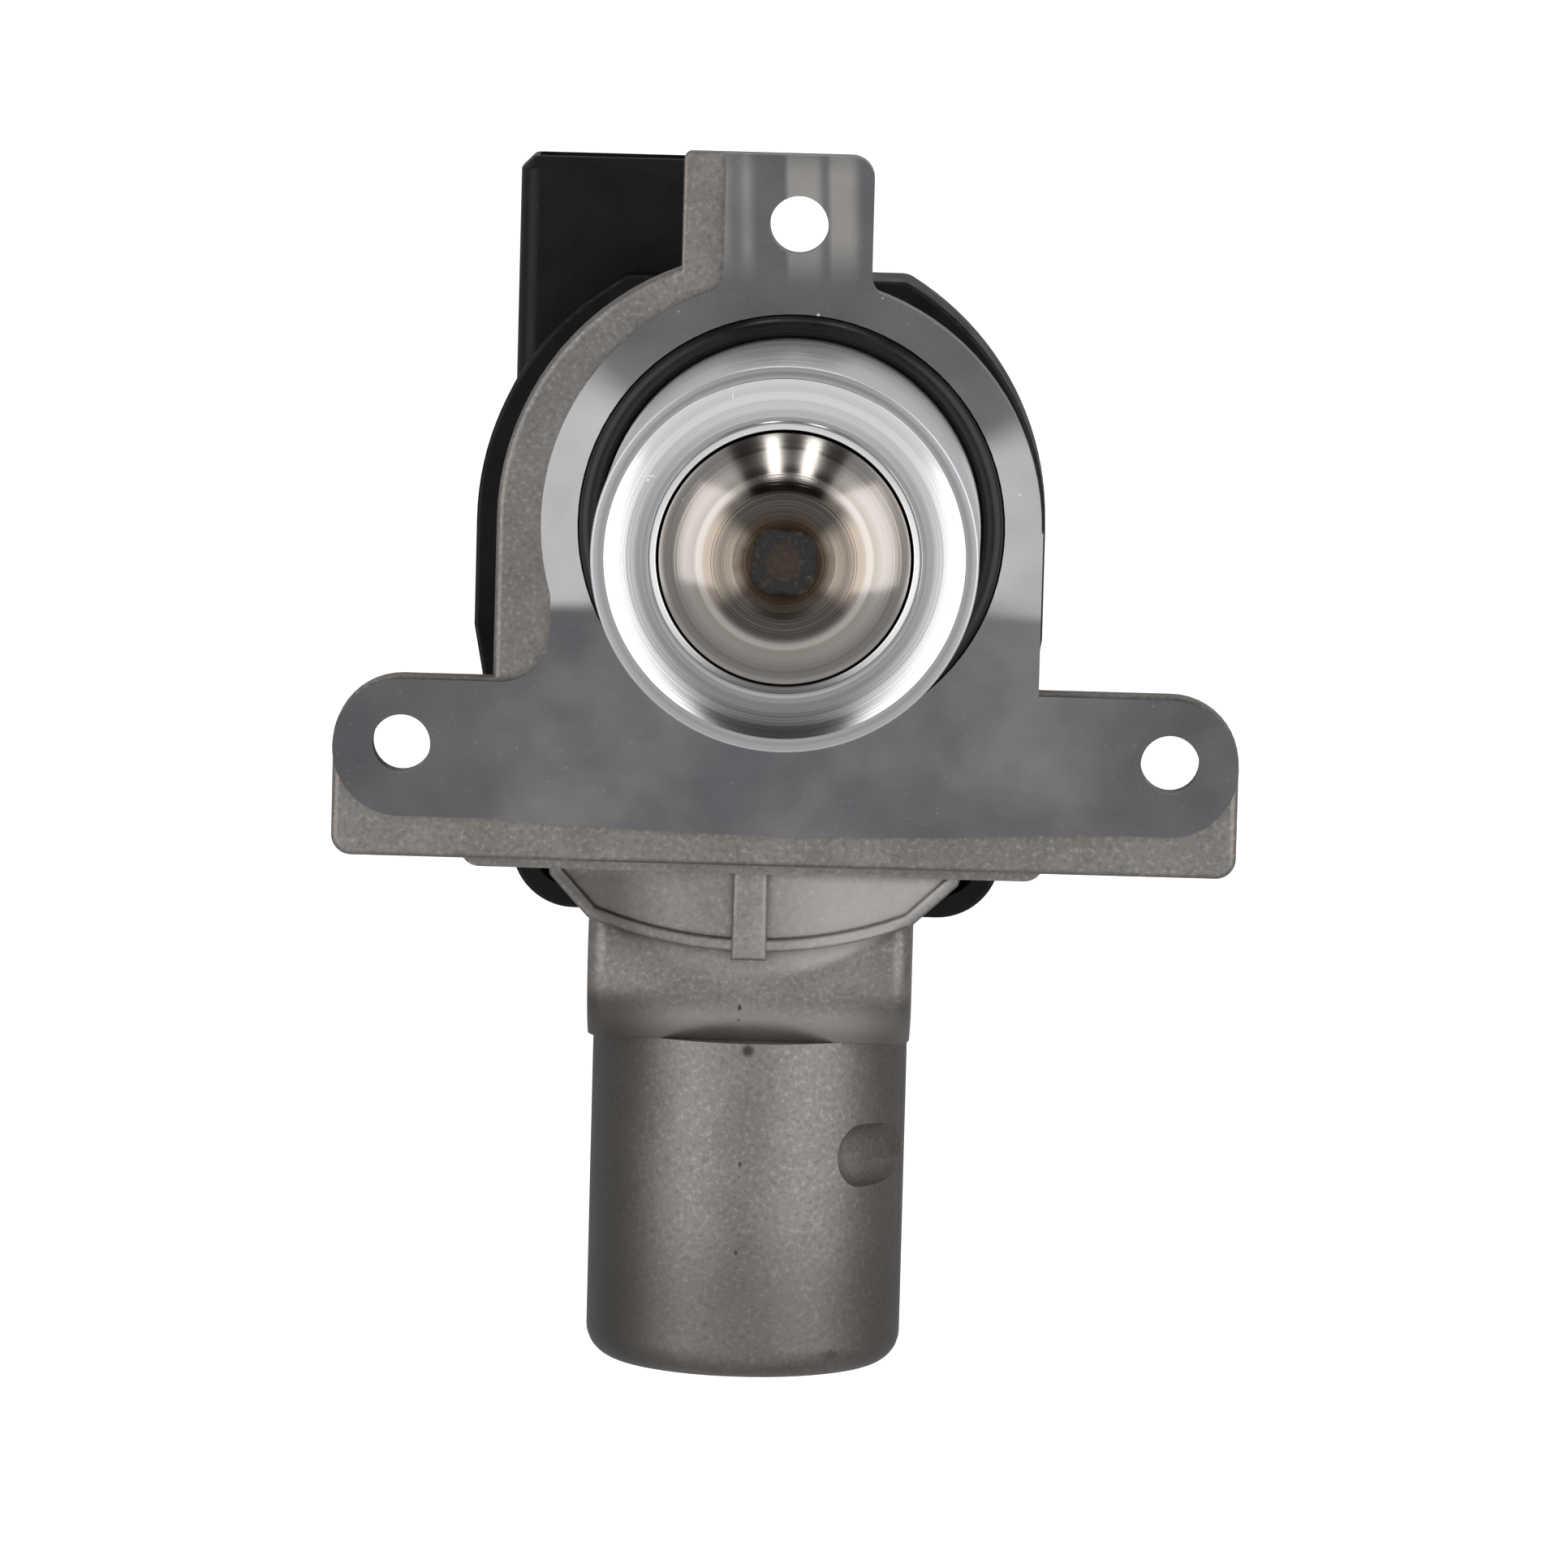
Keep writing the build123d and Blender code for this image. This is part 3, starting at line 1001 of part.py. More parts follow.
# ---- rear cover ----
def plug_box(growth=0.0):
    """Connector shroud's outer block, or its socket when growth is negative."""
    low = (PLUG_X_LOW - growth, PLUG_LOW_Y, COVER_BACK_Z - growth)
    high = (PLUG_X_HIGH + growth, PLUG_TOP_Y, PLUG_Z_HIGH + growth)
    box = block(low, high)
    return fillet(box.edges().filter_by(Axis.Y), max(0.6, PLUG_CORNER_R + growth))


def rear_cover():
    """Moulded cover: shell, skirt, connector shroud, screw bosses and board stand-offs."""
    rim_z = PARTING_Z + COVER_SKIRT
    shell = plate(cover_outline(), COVER_BACK_Z, rim_z)
    shell = fillet(shell.edges().group_by(Axis.Z)[0], COVER_BACK_FILLET)
    shell = fillet(shell.edges().group_by(Axis.Z)[-1], COVER_RIM_ROUND)
    shell -= plate(cover_outline(-COVER_WALL), PARTING_Z, rim_z)
    plug = plug_box()
    outer_corner = plug.edges().filter_by(Axis.Z).sort_by(Axis.Y)[-2:].sort_by(Axis.X)[0]
    plug = chamfer(outer_corner, PLUG_CHAMFER)
    shell += fillet(plug.edges().group_by(Axis.Y)[-1], PLUG_ROUND)
    shell -= plate(chamber_outline(PART_GAP), PARTING_Z, rim_z)
    neck_half = NECK_HALF_WIDTH + PART_GAP
    neck_gap = rectangle(MOTOR_X - neck_half, COVER_END_Y, MOTOR_X + neck_half, BOWL_END_Y)
    shell -= plate(neck_gap, PARTING_Z, rim_z)
    mouth = block((PLUG_X_LOW, PLUG_TOP_Y - PLUG_DEPTH, COVER_BACK_Z), (PLUG_X_HIGH, PLUG_TOP_Y, PLUG_Z_HIGH))
    shell -= plug_box(-PLUG_WALL) & mouth
    shell -= plate(cover_outline(-COVER_WALL) & chamber_outline(-WALL), COVER_FLOOR_Z, PARTING_Z)
    for x, y in COVER_SCREW_PLACES:
        shell += plate(Pos(x, y) * Circle(COVER_BOSS_R) & cover_outline(-1.0), COVER_FLOOR_Z, PARTING_Z)
        shell -= rod(COVER_SCREW_R + 0.2, COVER_BACK_Z, PARTING_Z, x, y)
        shell -= rod(COVER_SCREW_HEAD_R + 0.3, COVER_BACK_Z, COVER_BACK_Z + COVER_SCREW_HEAD_T, x, y)
    shell -= gasket_shape(0.05)
    for x in (-BOARD_LENGTH / 3, BOARD_LENGTH / 3):
        shell += rod(STANDOFF_R, COVER_FLOOR_Z, COVER_FLOOR_Z + BOARD_STANDOFF, BOARD_X + x, BOARD_Y)
    for pin in pins():
        shell -= pin
    return one(shell)


def gasket_shape(growth=0.0):
    """Seal that follows the chamber's rim."""
    outer = chamber_outline(-(WALL - GASKET_WIDTH) / 2 + growth)
    inner = chamber_outline(-(WALL + GASKET_WIDTH) / 2 - growth)
    return plate(outer - inner, PARTING_Z - GASKET_T - growth, PARTING_Z)


def sensor_board():
    """Circuit board on the cover's floor."""
    low = COVER_FLOOR_Z + BOARD_STANDOFF
    return block((BOARD_X_LOW, BOARD_Y - BOARD_WIDTH / 2, low), (BOARD_X_LOW + BOARD_LENGTH, BOARD_TOP_Y, low + BOARD_T))


def sensor_chip():
    """Sensor chip on the board, over the magnet's path."""
    low = COVER_FLOOR_Z + BOARD_STANDOFF + BOARD_T
    half = CHIP_SIZE / 2
    x = -MAGNET_MID_R
    return block((x - half, BOARD_Y - half, low), (x + half, BOARD_Y + half, low + CHIP_T))


def pins():
    """Connector pins from the board into the socket."""
    floor_y = PLUG_TOP_Y - PLUG_DEPTH
    half = PIN_SIZE / 2
    board_top = COVER_FLOOR_Z + BOARD_STANDOFF + BOARD_T
    rows = []
    for k in range(PIN_COUNT):
        x = PLUG_MID_X + (k - (PIN_COUNT - 1) / 2) * PIN_PITCH
        run = block((x - half, BOARD_Y - half, PLUG_MID_Z - half), (x + half, floor_y + PIN_LENGTH, PLUG_MID_Z + half))
        leg = block((x - half, BOARD_Y - half, board_top), (x + half, BOARD_Y + half, PLUG_MID_Z + half))
        rows.append(run + leg)
    return rows


# ---- build every piece ----
def all_parts():
    """Every node with its shape."""
    guide_high = GUIDE_BOSS_TOP_Z + GUIDE_BUSH_PROUD
    seal_high = GUIDE_BOSS_END_Z + STEM_SEAL_LENGTH
    bush_r = DRIVE_AXLE_R + DRIVE_BUSH_WALL
    cross_length = 2 * (SLEEVE_R_IN + SLEEVE_WALL - PART_GAP)
    rear_y = CASE_END_Y + CASE_T
    front_y = HOLDER_END_Y - BEARING_LENGTH
    cover_seat = COVER_BACK_Z + COVER_SCREW_HEAD_T
    return {
        "housing": housing(),
        "nozzle": nozzle(),
        "seat_ring": seat_ring(),
        "flange_o_ring": o_ring(),
        "guide_bush": tube(GUIDE_BORE_R, STEM_R + RUNNING_GAP, seal_high, guide_high),
        "stem_seal": tube(GUIDE_BORE_R - 0.05, STEM_R + 0.1, GUIDE_BOSS_END_Z, seal_high),
        "seal_washer": tube(GUIDE_BOSS_R, STEM_R + PART_GAP, GUIDE_BOSS_END_Z - SEAL_WASHER_T, GUIDE_BOSS_END_Z),
        "valve_stem": valve_stem(),
        "poppet_head": poppet_head(),
        "stem_weld": stem_weld(),
        "spring_seat": tube(SPRING_SEAT_R, STEM_R + PRESS_GAP, SPRING_SEAT_Z, SPRING_LOW_Z),
        "return_spring": return_spring(),
        "cross_pin": cross_bar(CROSS_PIN_R, cross_length),
        "roller_right": roller(1),
        "roller_left": roller(-1),
        "guide_sleeve": guide_sleeve(),
        "cam_ring": cam_ring(),
        "drive_gear": drive_gear(),
        "drive_bush": tube(bush_r, DRIVE_AXLE_R + RUNNING_GAP, DRIVE_BACK_Z, DRIVE_TOP_Z),
        "drive_axle": drive_axle(),
        "thrust_washer": tube(THRUST_WASHER_R, DRIVE_AXLE_R + PRESS_GAP, BRIDGE_TOP_Z, DRIVE_BACK_Z - 0.05),
        "sensor_magnet": magnet_arc(),
        "intermediate_gear": intermediate_gear(),
        "intermediate_axle": idler_axle(),
        "axle_clip": axle_clip(),
        "bearing_bridge": bearing_bridge(),
        "bridge_screws": [
            screw(x, y, BRIDGE_BACK_Z, SCREW_LENGTH, SCREW_R, SCREW_HEAD_R, SCREW_HEAD_T, SCREW_R)
            for x, y in BRIDGE_POSTS
        ],
        "motor_case": motor_case(),
        "stator_magnets": stator_magnets(),
        "armature_core": armature_core(),
        "armature_windings": armature_windings(),
        "motor_shaft": motor_shaft(),
        "commutator": commutator(),
        "brush_holder": brush_holder(),
        "brushes": brush_pocket(0.0),
        "front_bearing": tube_along_y(BEARING_R, SHAFT_R + RUNNING_GAP, front_y, HOLDER_END_Y),
        "rear_bearing": tube_along_y(BEARING_R, SHAFT_R + RUNNING_GAP, rear_y, rear_y + BEARING_LENGTH),
        "wave_washer": wave_washer(),
        "motor_circlip": circlip(),
        "motor_pinion": motor_pinion(),
        "sensor_board": sensor_board(),
        "sensor_chip": sensor_chip(),
        "connector_pins": pins(),
        "motor_contacts": motor_contacts(),
        "cover_gasket": gasket_shape(),
        "rear_cover": rear_cover(),
        "cover_screws": [
            screw(x, y, cover_seat, COVER_SCREW_LENGTH, COVER_SCREW_R, COVER_SCREW_HEAD_R, COVER_SCREW_HEAD_T,
                  COVER_SCREW_R)
            for x, y in COVER_SCREW_PLACES
        ],
    }


os.makedirs("parts", exist_ok=True)
for name, shape in all_parts().items():
    solids = [s for piece in (shape if isinstance(shape, list) else [shape]) for s in piece.solids()]
    export_step(solids[0] if len(solids) == 1 else Compound(solids), f"parts/{name}.step")
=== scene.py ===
import bmesh
import bpy
import json
import math
from mathutils import Matrix, Vector, noise

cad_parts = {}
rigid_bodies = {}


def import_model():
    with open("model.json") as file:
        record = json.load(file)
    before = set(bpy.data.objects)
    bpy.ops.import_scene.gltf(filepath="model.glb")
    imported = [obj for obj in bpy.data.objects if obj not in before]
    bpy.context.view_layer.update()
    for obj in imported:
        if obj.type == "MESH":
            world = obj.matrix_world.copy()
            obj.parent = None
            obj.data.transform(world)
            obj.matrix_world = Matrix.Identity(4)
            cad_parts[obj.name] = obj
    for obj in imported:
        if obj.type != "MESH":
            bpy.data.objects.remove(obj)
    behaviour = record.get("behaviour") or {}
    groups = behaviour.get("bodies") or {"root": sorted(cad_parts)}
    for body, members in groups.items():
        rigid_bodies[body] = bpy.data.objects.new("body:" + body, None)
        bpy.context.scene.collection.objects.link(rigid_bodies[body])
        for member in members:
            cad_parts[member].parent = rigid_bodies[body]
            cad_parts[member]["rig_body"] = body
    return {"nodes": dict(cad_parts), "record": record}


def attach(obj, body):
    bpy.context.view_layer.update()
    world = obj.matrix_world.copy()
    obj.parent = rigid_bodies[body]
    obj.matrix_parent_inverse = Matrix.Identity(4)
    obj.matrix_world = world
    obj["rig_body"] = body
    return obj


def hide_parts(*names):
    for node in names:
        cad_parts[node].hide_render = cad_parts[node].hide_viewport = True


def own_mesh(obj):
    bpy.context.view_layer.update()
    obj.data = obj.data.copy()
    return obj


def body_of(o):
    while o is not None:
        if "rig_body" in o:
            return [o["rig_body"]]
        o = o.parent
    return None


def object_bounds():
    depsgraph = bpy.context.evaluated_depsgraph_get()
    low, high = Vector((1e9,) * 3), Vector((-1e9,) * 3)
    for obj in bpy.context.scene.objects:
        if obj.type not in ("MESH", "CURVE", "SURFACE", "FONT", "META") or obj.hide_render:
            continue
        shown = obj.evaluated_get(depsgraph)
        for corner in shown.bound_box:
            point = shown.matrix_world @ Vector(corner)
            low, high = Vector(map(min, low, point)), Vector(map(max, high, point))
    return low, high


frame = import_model()
cad_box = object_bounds()
MM = 0.001
NODES = frame["nodes"]

# ---- turned pieces, all in millimetres ----
NOZZLE_R = 23.3
NOZZLE_TOP = 40.0
NOZZLE_FOOT_R = 23.0
NOZZLE_FOOT_Z = -9.0
NOZZLE_STEP_Z = 1.1
NOZZLE_BORE_R = 19.0
NOZZLE_EDGE = 0.35
WINDOW_HALF_WIDTH = 12.0
WINDOW_Z = (11.0, 28.0)
WINDOW_CORNER = 3.0
WINDOW_REACH = 2.0         # how far the cutting block passes the wall
SEAT_R = 21.7
SEAT_GAP = 0.02            # between the ring and the nozzle's bore
SEAT_LOW_Z = 31.0
SEAT_EDGE_Z = 39.96
SEAT_BREAK = 0.05          # step of the broken outer edge
SEAT_LIP_R = 16.37
SEAT_LIP_HALF = (0.15, 0.07)
SEAT_LIP_Z = (0.02, 0.12)  # foot and top of the lip over the floor
SEAT_INNER_R = 15.4
SEAT_THROAT_R = 13.2
SEAT_FLOOR_R = 16.9
SEAT_FLOOR_Z = 39.05
SEAT_HOLLOW = 0.16
SEAT_CLEARANCE = 0.15      # under the closed head
HEAD_R = 15.1
HEAD_RIM_Z = 39.5
HEAD_UNDER_Z = 38.1
HEAD_CONE = 2.2
HEAD_TOP_R = 8.7
HEAD_TOP_Z = 43.9
HEAD_HOLLOW = 0.3
HEAD_EDGE = 0.16
HEAD_LAND = 1.2            # width of the flat just inside the middle's edge
HEAD_DIP_R = (6.4, 6.3, 5.6)
HEAD_DIP = (0.02, 0.07, 0.09)
HEAD_HUB_R = 5.5
HEAD_HUB_FLARE = 1.5
HEAD_HUB_DEPTH = 5.2
STEM_R = 3.0
STEM_GAP = 0.02
CRUST_R = 3.25
CRUST_HALF_WIDTH = 0.9
CRUST_HALF_HEIGHT = 0.272
CRUST_TOP = 0.34
CRUST_SQUARE = 0.08
CRUST_TURN = 0.3           # radians
CRUST_BUMPS_PER_MM = 2.2
CRUST_BUMP = 0.13
CRUST_WOBBLE = 0.03
CRUST_ANGLE = math.radians(60)
TIP_R = 3.0
TIP_PROUD = 0.28
TIP_DEPTH = (0.3, 0.5)     # at the edge and in the middle
DIMPLE_R = 0.75
DIMPLE_SLOPE = 0.15
DIMPLE_DEPTH = 0.2
GROOVE_R = (1.35, 1.7)
GROOVE_SLOPE = 0.05
GROOVE_DEPTH = 0.08
O_RING_R = 24.8
O_RING_CORD_R = 1.48
O_RING_Z = -0.7
ROUND_STEPS = 320
FACE_STEPS = 32
FLANK_STEPS = 30
EDGE_STEPS = 4
CORNER_STEPS = 8
TIP_STEPS = 96
CORD_STEPS = 28
CRUST_STEPS = (160, 10)    # round the axis and round the bead
SMOOTH_ANGLE = math.radians(32)
FLAT_AREA = 150.0          # square millimetres; larger flat faces shade flat

# ---- camera, fitted as a long lens straight over the flange ----
FOCAL_PX = 15000.0
FRAME_PX = 1932.0
SENSOR_MM = 36.0
EYE_DISTANCE = 1.5
EYE_DIRECTION = Vector((0.0175, 0.117, 1.0)).normalized()
LOOK_AT = Vector((-0.06, -31.73, 0.0)) * MM
CAMERA_RIGHT = Vector((0.9996, 0.02845, 0.0))
CLIP = (0.05, 20.0)

# ---- lamps: name, azimuth from +X towards +Y and height in degrees, size in metres, power in watts ----
LAMP_DISTANCE = 0.75
LAMPS = (
    ("lamp_right", 10, 42, (0.85, 0.80), 2.5),
    ("lamp_left", 170, 44, (0.80, 0.72), 1.95),
    ("strip_right", 77, 25, (0.09, 0.36), 0.5),
    ("strip_left", 99, 25, (0.09, 0.36), 0.5),
)

# ---- room: two values of a direction's part, then the brightness at each ----
ROOM_MOTOR_Y = (-0.42, -0.02, 0.92, 0.38)
ROOM_LUG_Y = (0.0, 0.45, 1.0, 0.12)
ROOM_SIDES_X = (0.08, 0.30, 0.0, 0.95)
ROOM_BEYOND = (-0.08, 0.06, 1.0, 0.0)
ROOM_BEYOND_SLOPE = 1.6
ROOM_LOW_Z = (0.15, 0.5, 0.45, 1.0)
ROOM_BLUE = 1.015
FLOOR_SIZE = 4.0
FLOOR_DROP = 0.0002
FLOOR_TONE = 0.5
FLOOR_GLOW = 0.86

# ---- places of the finish, in millimetres ----
MACHINED_Z = -1.1
EDGE_FADE = 0.05
COLLAR_R = 36.0            # turned part of the flange face
LUG_Y = 33.0               # lug's straight milled part starts here
MOTOR_X = -4.0
MOTOR_SIDE = 19.0
CASTING_FRONT_Z = -20.0    # flaws show only in front of this
FLAWS = (                  # x, y, half width, half height, darkness of each casting flaw
    (-5.0, -60.9, 0.32, 0.75, 0.85), (-5.1, -62.6, 0.22, 0.35, 0.6), (-4.5, -80.6, 0.3, 0.45, 0.7),
    (-4.6, -82.4, 0.18, 0.3, 0.5), (-4.7, -91.7, 0.3, 0.55, 0.7), (-4.6, -93.6, 0.2, 0.3, 0.5),
    (-4.4, -86.0, 0.16, 0.22, 0.5), (-7.7, -91.3, 0.9, 0.12, 0.35), (7.2, -104.9, 2.0, 0.9, 0.35),
)
SEAT_NICKS = (             # x, y, half width, half height of each bright nick
    (-16.3, 9.5, 0.75, 0.14), (-16.6, 9.0, 0.3, 0.3), (-19.0, 14.8, 0.1, 0.5), (-18.3, 13.9, 0.35, 0.12),
    (-8.5, 20.2, 0.07, 0.8), (-6.7, 19.6, 0.07, 0.9), (-17.8, 3.2, 0.08, 0.35), (10.8, 21.2, 0.4, 0.08),
)

# ---- spans of a tone: from and to in millimetres, then its share at each where that isn't 0 and 1 ----
EAR_DARK_X = (32.0, 46.0, 0.0, 0.6)
COLLAR_EDGE_R = (COLLAR_R - 1.5, COLLAR_R, 1.0, 0.0)
COLLAR_END_Y = (-11.5, -9.5)
LUG_BANDS_Y = (LUG_Y - 4.0, LUG_Y + 3.0, 0.0, 0.8)
LUG_END_Y = (43.0, 48.0, 0.0, 0.8)
CAN_Y = (-58.0, -61.0)
# darker towards the can's low end
CAN_LOW_Y = (-82.0, -102.0, 0.0, 0.5)
# painted light on the low part of the neck
NECK_LIGHT_Y = (-59.5, -63.5, 0.0, 0.75)
NECK_END_Y = (-65.6, -65.3)
BOWL_TOP_Y = (-43.0, -45.0)
BOWL_RIM_Y = (-57.5, -56.0)
BOWL_RIM_CURVE = 0.02      # rise of the rim for the squared distance off its middle
# painted light on the bowl's right
BOWL_LIT_X = (-6.0, 8.0, 0.1, 0.6)
# painted shade on the bowl's left
BOWL_SHADE_X = (-13.0, -22.0, 0.0, 0.7)
HEAD_DARK_R = (9.0, 10.5, 0.85, 0.0)
HEAD_BROWN_R = (4.6, 6.6, 0.85, 0.0)
HEAD_BURNT_R = (3.4, 5.2, 0.92, 0.0)
HEAD_STREAKS_R = (4.5, 6.0)
HEAD_FLAT_R = (8.4, 8.8, 1.0, 0.0)
RUST_R = (1.7, 2.3, 0.85, 0.0)

# ---- the same for a part of the can's half width, or for a noise from 0 to 1 ----
# painted shade on the can's left and right sides
CAN_LEFT_SHADE = (-0.3, -0.9, 0.0, 0.85)
CAN_RIGHT_SHADE = (0.55, 1.0, 0.0, 0.65)
MOTTLE = (0.3, 0.7)
GRAIN_DARK = (0.5, 0.72, 0.0, 0.5)
GRAIN_LIGHT = (0.46, 0.3, 0.0, 0.4)
CLOUDS = (0.35, 0.65)
BANDS = (0.42, 0.6)
WORN = (0.62, 0.8, 0.0, 0.25)
STREAKS = (0.6, 0.75)
PATCHES = (0.54, 0.66)
SCALE_SPOTS = (0.5, 0.75)
CAST_ROUGH = (0.2, 0.8, 0.46, 0.54)
MILLED_ROUGH = (0.3, 0.7, 0.27, 0.33)
HEAD_ROUGH = (0.3, 0.7, 0.13, 0.19)
SCALE_ROUGH = (0.3, 0.7, 0.32, 0.7)

# ---- sectors about the valve's axis, for painted sheen and a painted dark reflection: azimuth, half spread and fade in degrees, then a share ----
PAINTED_SHEEN_SECTORS = ((174.0, 22.0, 14.0, 0.95), (2.0, 16.0, 12.0, 0.85))
DARK_REFLECTION_SECTOR = (78.0, 34.0, 24.0)
DARK_REFLECTION_SHARE = 0.75
# painted sheen on the head's middle, left and right
HEAD_SHEEN_SECTORS = ((2.0, 18.0, 26.0), (178.0, 18.0, 26.0))

# ---- colours, linear, dark and light where there are two ----
CAST = ((0.205, 0.19, 0.175), (0.25, 0.232, 0.216))
CAST_GRAIN = ((0.125, 0.114, 0.103), (0.42, 0.40, 0.38))
# painted light: pale low part of the neck
PAINTED_NECK_LIGHT = (0.46, 0.43, 0.40)
# painted light: the bowl pale towards its right
PAINTED_BOWL_LIGHT = (0.56, 0.53, 0.50)
# painted shade on the bowl's left, also darkening the can towards its low end
PAINTED_SHADE_DIM = (0.09, 0.083, 0.077)
# painted shade on the can's sides
PAINTED_CAN_SIDE_SHADE = (0.075, 0.07, 0.064)
CAST_PIT = (0.03, 0.028, 0.026)
CAST_FLAW = (0.02, 0.018, 0.016)
MILLED = ((0.18, 0.18, 0.19), (0.28, 0.275, 0.27))
MILLED_EAR = (0.125, 0.127, 0.134)
# painted sheen: pale sectors of the turned collar
PAINTED_SHEEN_PALE = (0.78, 0.78, 0.77)
MILLED_WORN = (0.62, 0.62, 0.63)
# painted dark reflection, on the collar's top and on the nozzle's end face
PAINTED_DARK_REFLECTION = (0.20, 0.20, 0.205)
LUG = ((0.19, 0.19, 0.20), (0.50, 0.48, 0.45))
LUG_END = (0.16, 0.16, 0.17)
SCRATCHED = (0.75, 0.75, 0.76)
DUST = (0.95, 0.95, 0.95)
FAINT_DUST = (0.4, 0.4, 0.4)
WHITE = (1.0, 1.0, 1.0)
HEAD = ((0.31, 0.282, 0.255), (0.43, 0.40, 0.37))
# dark brown middle of the head, and its painted sheen where it faces left and right
HEAD_MIDDLE_AND_SHEEN = ((0.035, 0.028, 0.022), (0.30, 0.25, 0.20))
HEAD_BROWN = (0.055, 0.03, 0.014)
HEAD_BURNT = (0.022, 0.014, 0.010)
HEAD_STREAK = (0.42, 0.38, 0.33)
SCALE = ((0.004, 0.0038, 0.0036), (0.07, 0.045, 0.028))
RUST = ((0.018, 0.008, 0.004), (0.045, 0.022, 0.012))
NOZZLE_STEEL = ((0.64, 0.645, 0.655), (0.76, 0.765, 0.775))
SEAT_STEEL = ((0.58, 0.575, 0.57), (0.70, 0.695, 0.69))
RUBBER = ((0.004, 0.004, 0.0045), (0.008, 0.008, 0.009))
COVER = ((0.0022, 0.0022, 0.0028), (0.004, 0.004, 0.005))

# ---- plain materials by slot: name, dark and light colour, roughness, then grain per metre and depth ----
METALS = {
    "bush_bronze": ("sintered_bronze", (0.45, 0.28, 0.14), (0.60, 0.40, 0.22), 0.45, 1500.0, 0.03),
    "zinc_steel": ("zinc_plate", (0.50, 0.51, 0.52), (0.66, 0.67, 0.68), 0.32),
    "ground_steel": ("ground_bar", (0.58, 0.58, 0.58), (0.70, 0.70, 0.70), 0.2),
    "spring_steel": ("oiled_spring", (0.20, 0.20, 0.21), (0.34, 0.34, 0.35), 0.3),
    "sinter_steel": ("sintered_steel", (0.24, 0.23, 0.22), (0.36, 0.35, 0.34), 0.5, 1800.0, 0.04),
    "core_steel": ("core_laminations", (0.22, 0.22, 0.23), (0.34, 0.34, 0.35), 0.45),
    "winding_copper": ("copper_wire", (0.50, 0.20, 0.09), (0.66, 0.30, 0.14), 0.35),
    "commutator_copper": ("bare_copper", (0.62, 0.32, 0.18), (0.74, 0.42, 0.26), 0.3),
    "pinion_brass": ("hobbed_brass", (0.60, 0.44, 0.18), (0.74, 0.57, 0.28), 0.28),
    "pin_tin": ("tinned_pins", (0.62, 0.61, 0.58), (0.76, 0.75, 0.72), 0.25),
    "contact_brass": ("stamped_brass", (0.58, 0.44, 0.20), (0.72, 0.56, 0.30), 0.3),
}
MOULDINGS = {
    "guide_plastic": ("guide_nylon", (0.03, 0.03, 0.032), (0.05, 0.05, 0.053), 0.5),
    "gear_plastic": ("gear_nylon", (0.68, 0.64, 0.54), (0.78, 0.75, 0.66), 0.45),
    "washer_plastic": ("washer_nylon", (0.08, 0.08, 0.085), (0.12, 0.12, 0.125), 0.5),
    "magnet_ferrite": ("ferrite", (0.05, 0.05, 0.052), (0.09, 0.09, 0.092), 0.5, 2000.0, 0.04),
    "brush_carbon": ("brush_graphite", (0.02, 0.02, 0.02), (0.045, 0.045, 0.045), 0.5),
    "board_laminate": ("board_mask", (0.02, 0.14, 0.06), (0.03, 0.20, 0.09), 0.35),
    "chip_plastic": ("chip_resin", (0.015, 0.015, 0.015), (0.03, 0.03, 0.03), 0.5),
}


# ---- mesh helpers ----
def new_object(name, mesh):
    """Object at the origin with its place in its mesh."""
    piece = bpy.data.objects.new(name, mesh)
    bpy.context.scene.collection.objects.link(piece)
    return piece


def object_from(name, mesh):
    """Object made of a bmesh, which is freed."""
    data = bpy.data.meshes.new(name)
    mesh.to_mesh(data)
    mesh.free()
    return new_object(name, data)


def shade(mesh, angle=SMOOTH_ANGLE):
    """Smooth faces with sharp edges past an angle."""
    mesh.polygons.foreach_set("use_smooth", [True] * len(mesh.polygons))
    mesh.set_sharp_from_angle(angle=angle)


def sharpen_flats(mesh):
    """Sharp edges round each large flat face that lies square to an axis, so it shades flat."""
    planes = {}
    for face in mesh.faces:
        if max(abs(c) for c in face.normal) > 0.9999:
            height = face.calc_center_median().dot(face.normal) / MM
            key = (*(round(c) for c in face.normal), round(height, 1))
            planes.setdefault(key, []).append(face)
    for faces in planes.values():
        if sum(face.calc_area() for face in faces) < FLAT_AREA * MM * MM:
            continue
        inside = set(faces)
        for face in faces:
            for edge in face.edges:
                if not set(edge.link_faces) <= inside:
                    edge.smooth = False


def arc(start, end, bulge, steps):
    """Points of a shallow curve between two (radius, height) places; bulge is its rise to the left."""
    (r0, z0), (r1, z1) = start, end
    length = math.hypot(r1 - r0, z1 - z0)
    across = ((z0 - z1) / length, (r1 - r0) / length)
    points = []
    for k in range(steps + 1):
        t = k / steps
        lift = 4 * bulge * t * (1 - t)
        points.append((r0 + (r1 - r0) * t + across[0] * lift, z0 + (z1 - z0) * t + across[1] * lift))
    return points


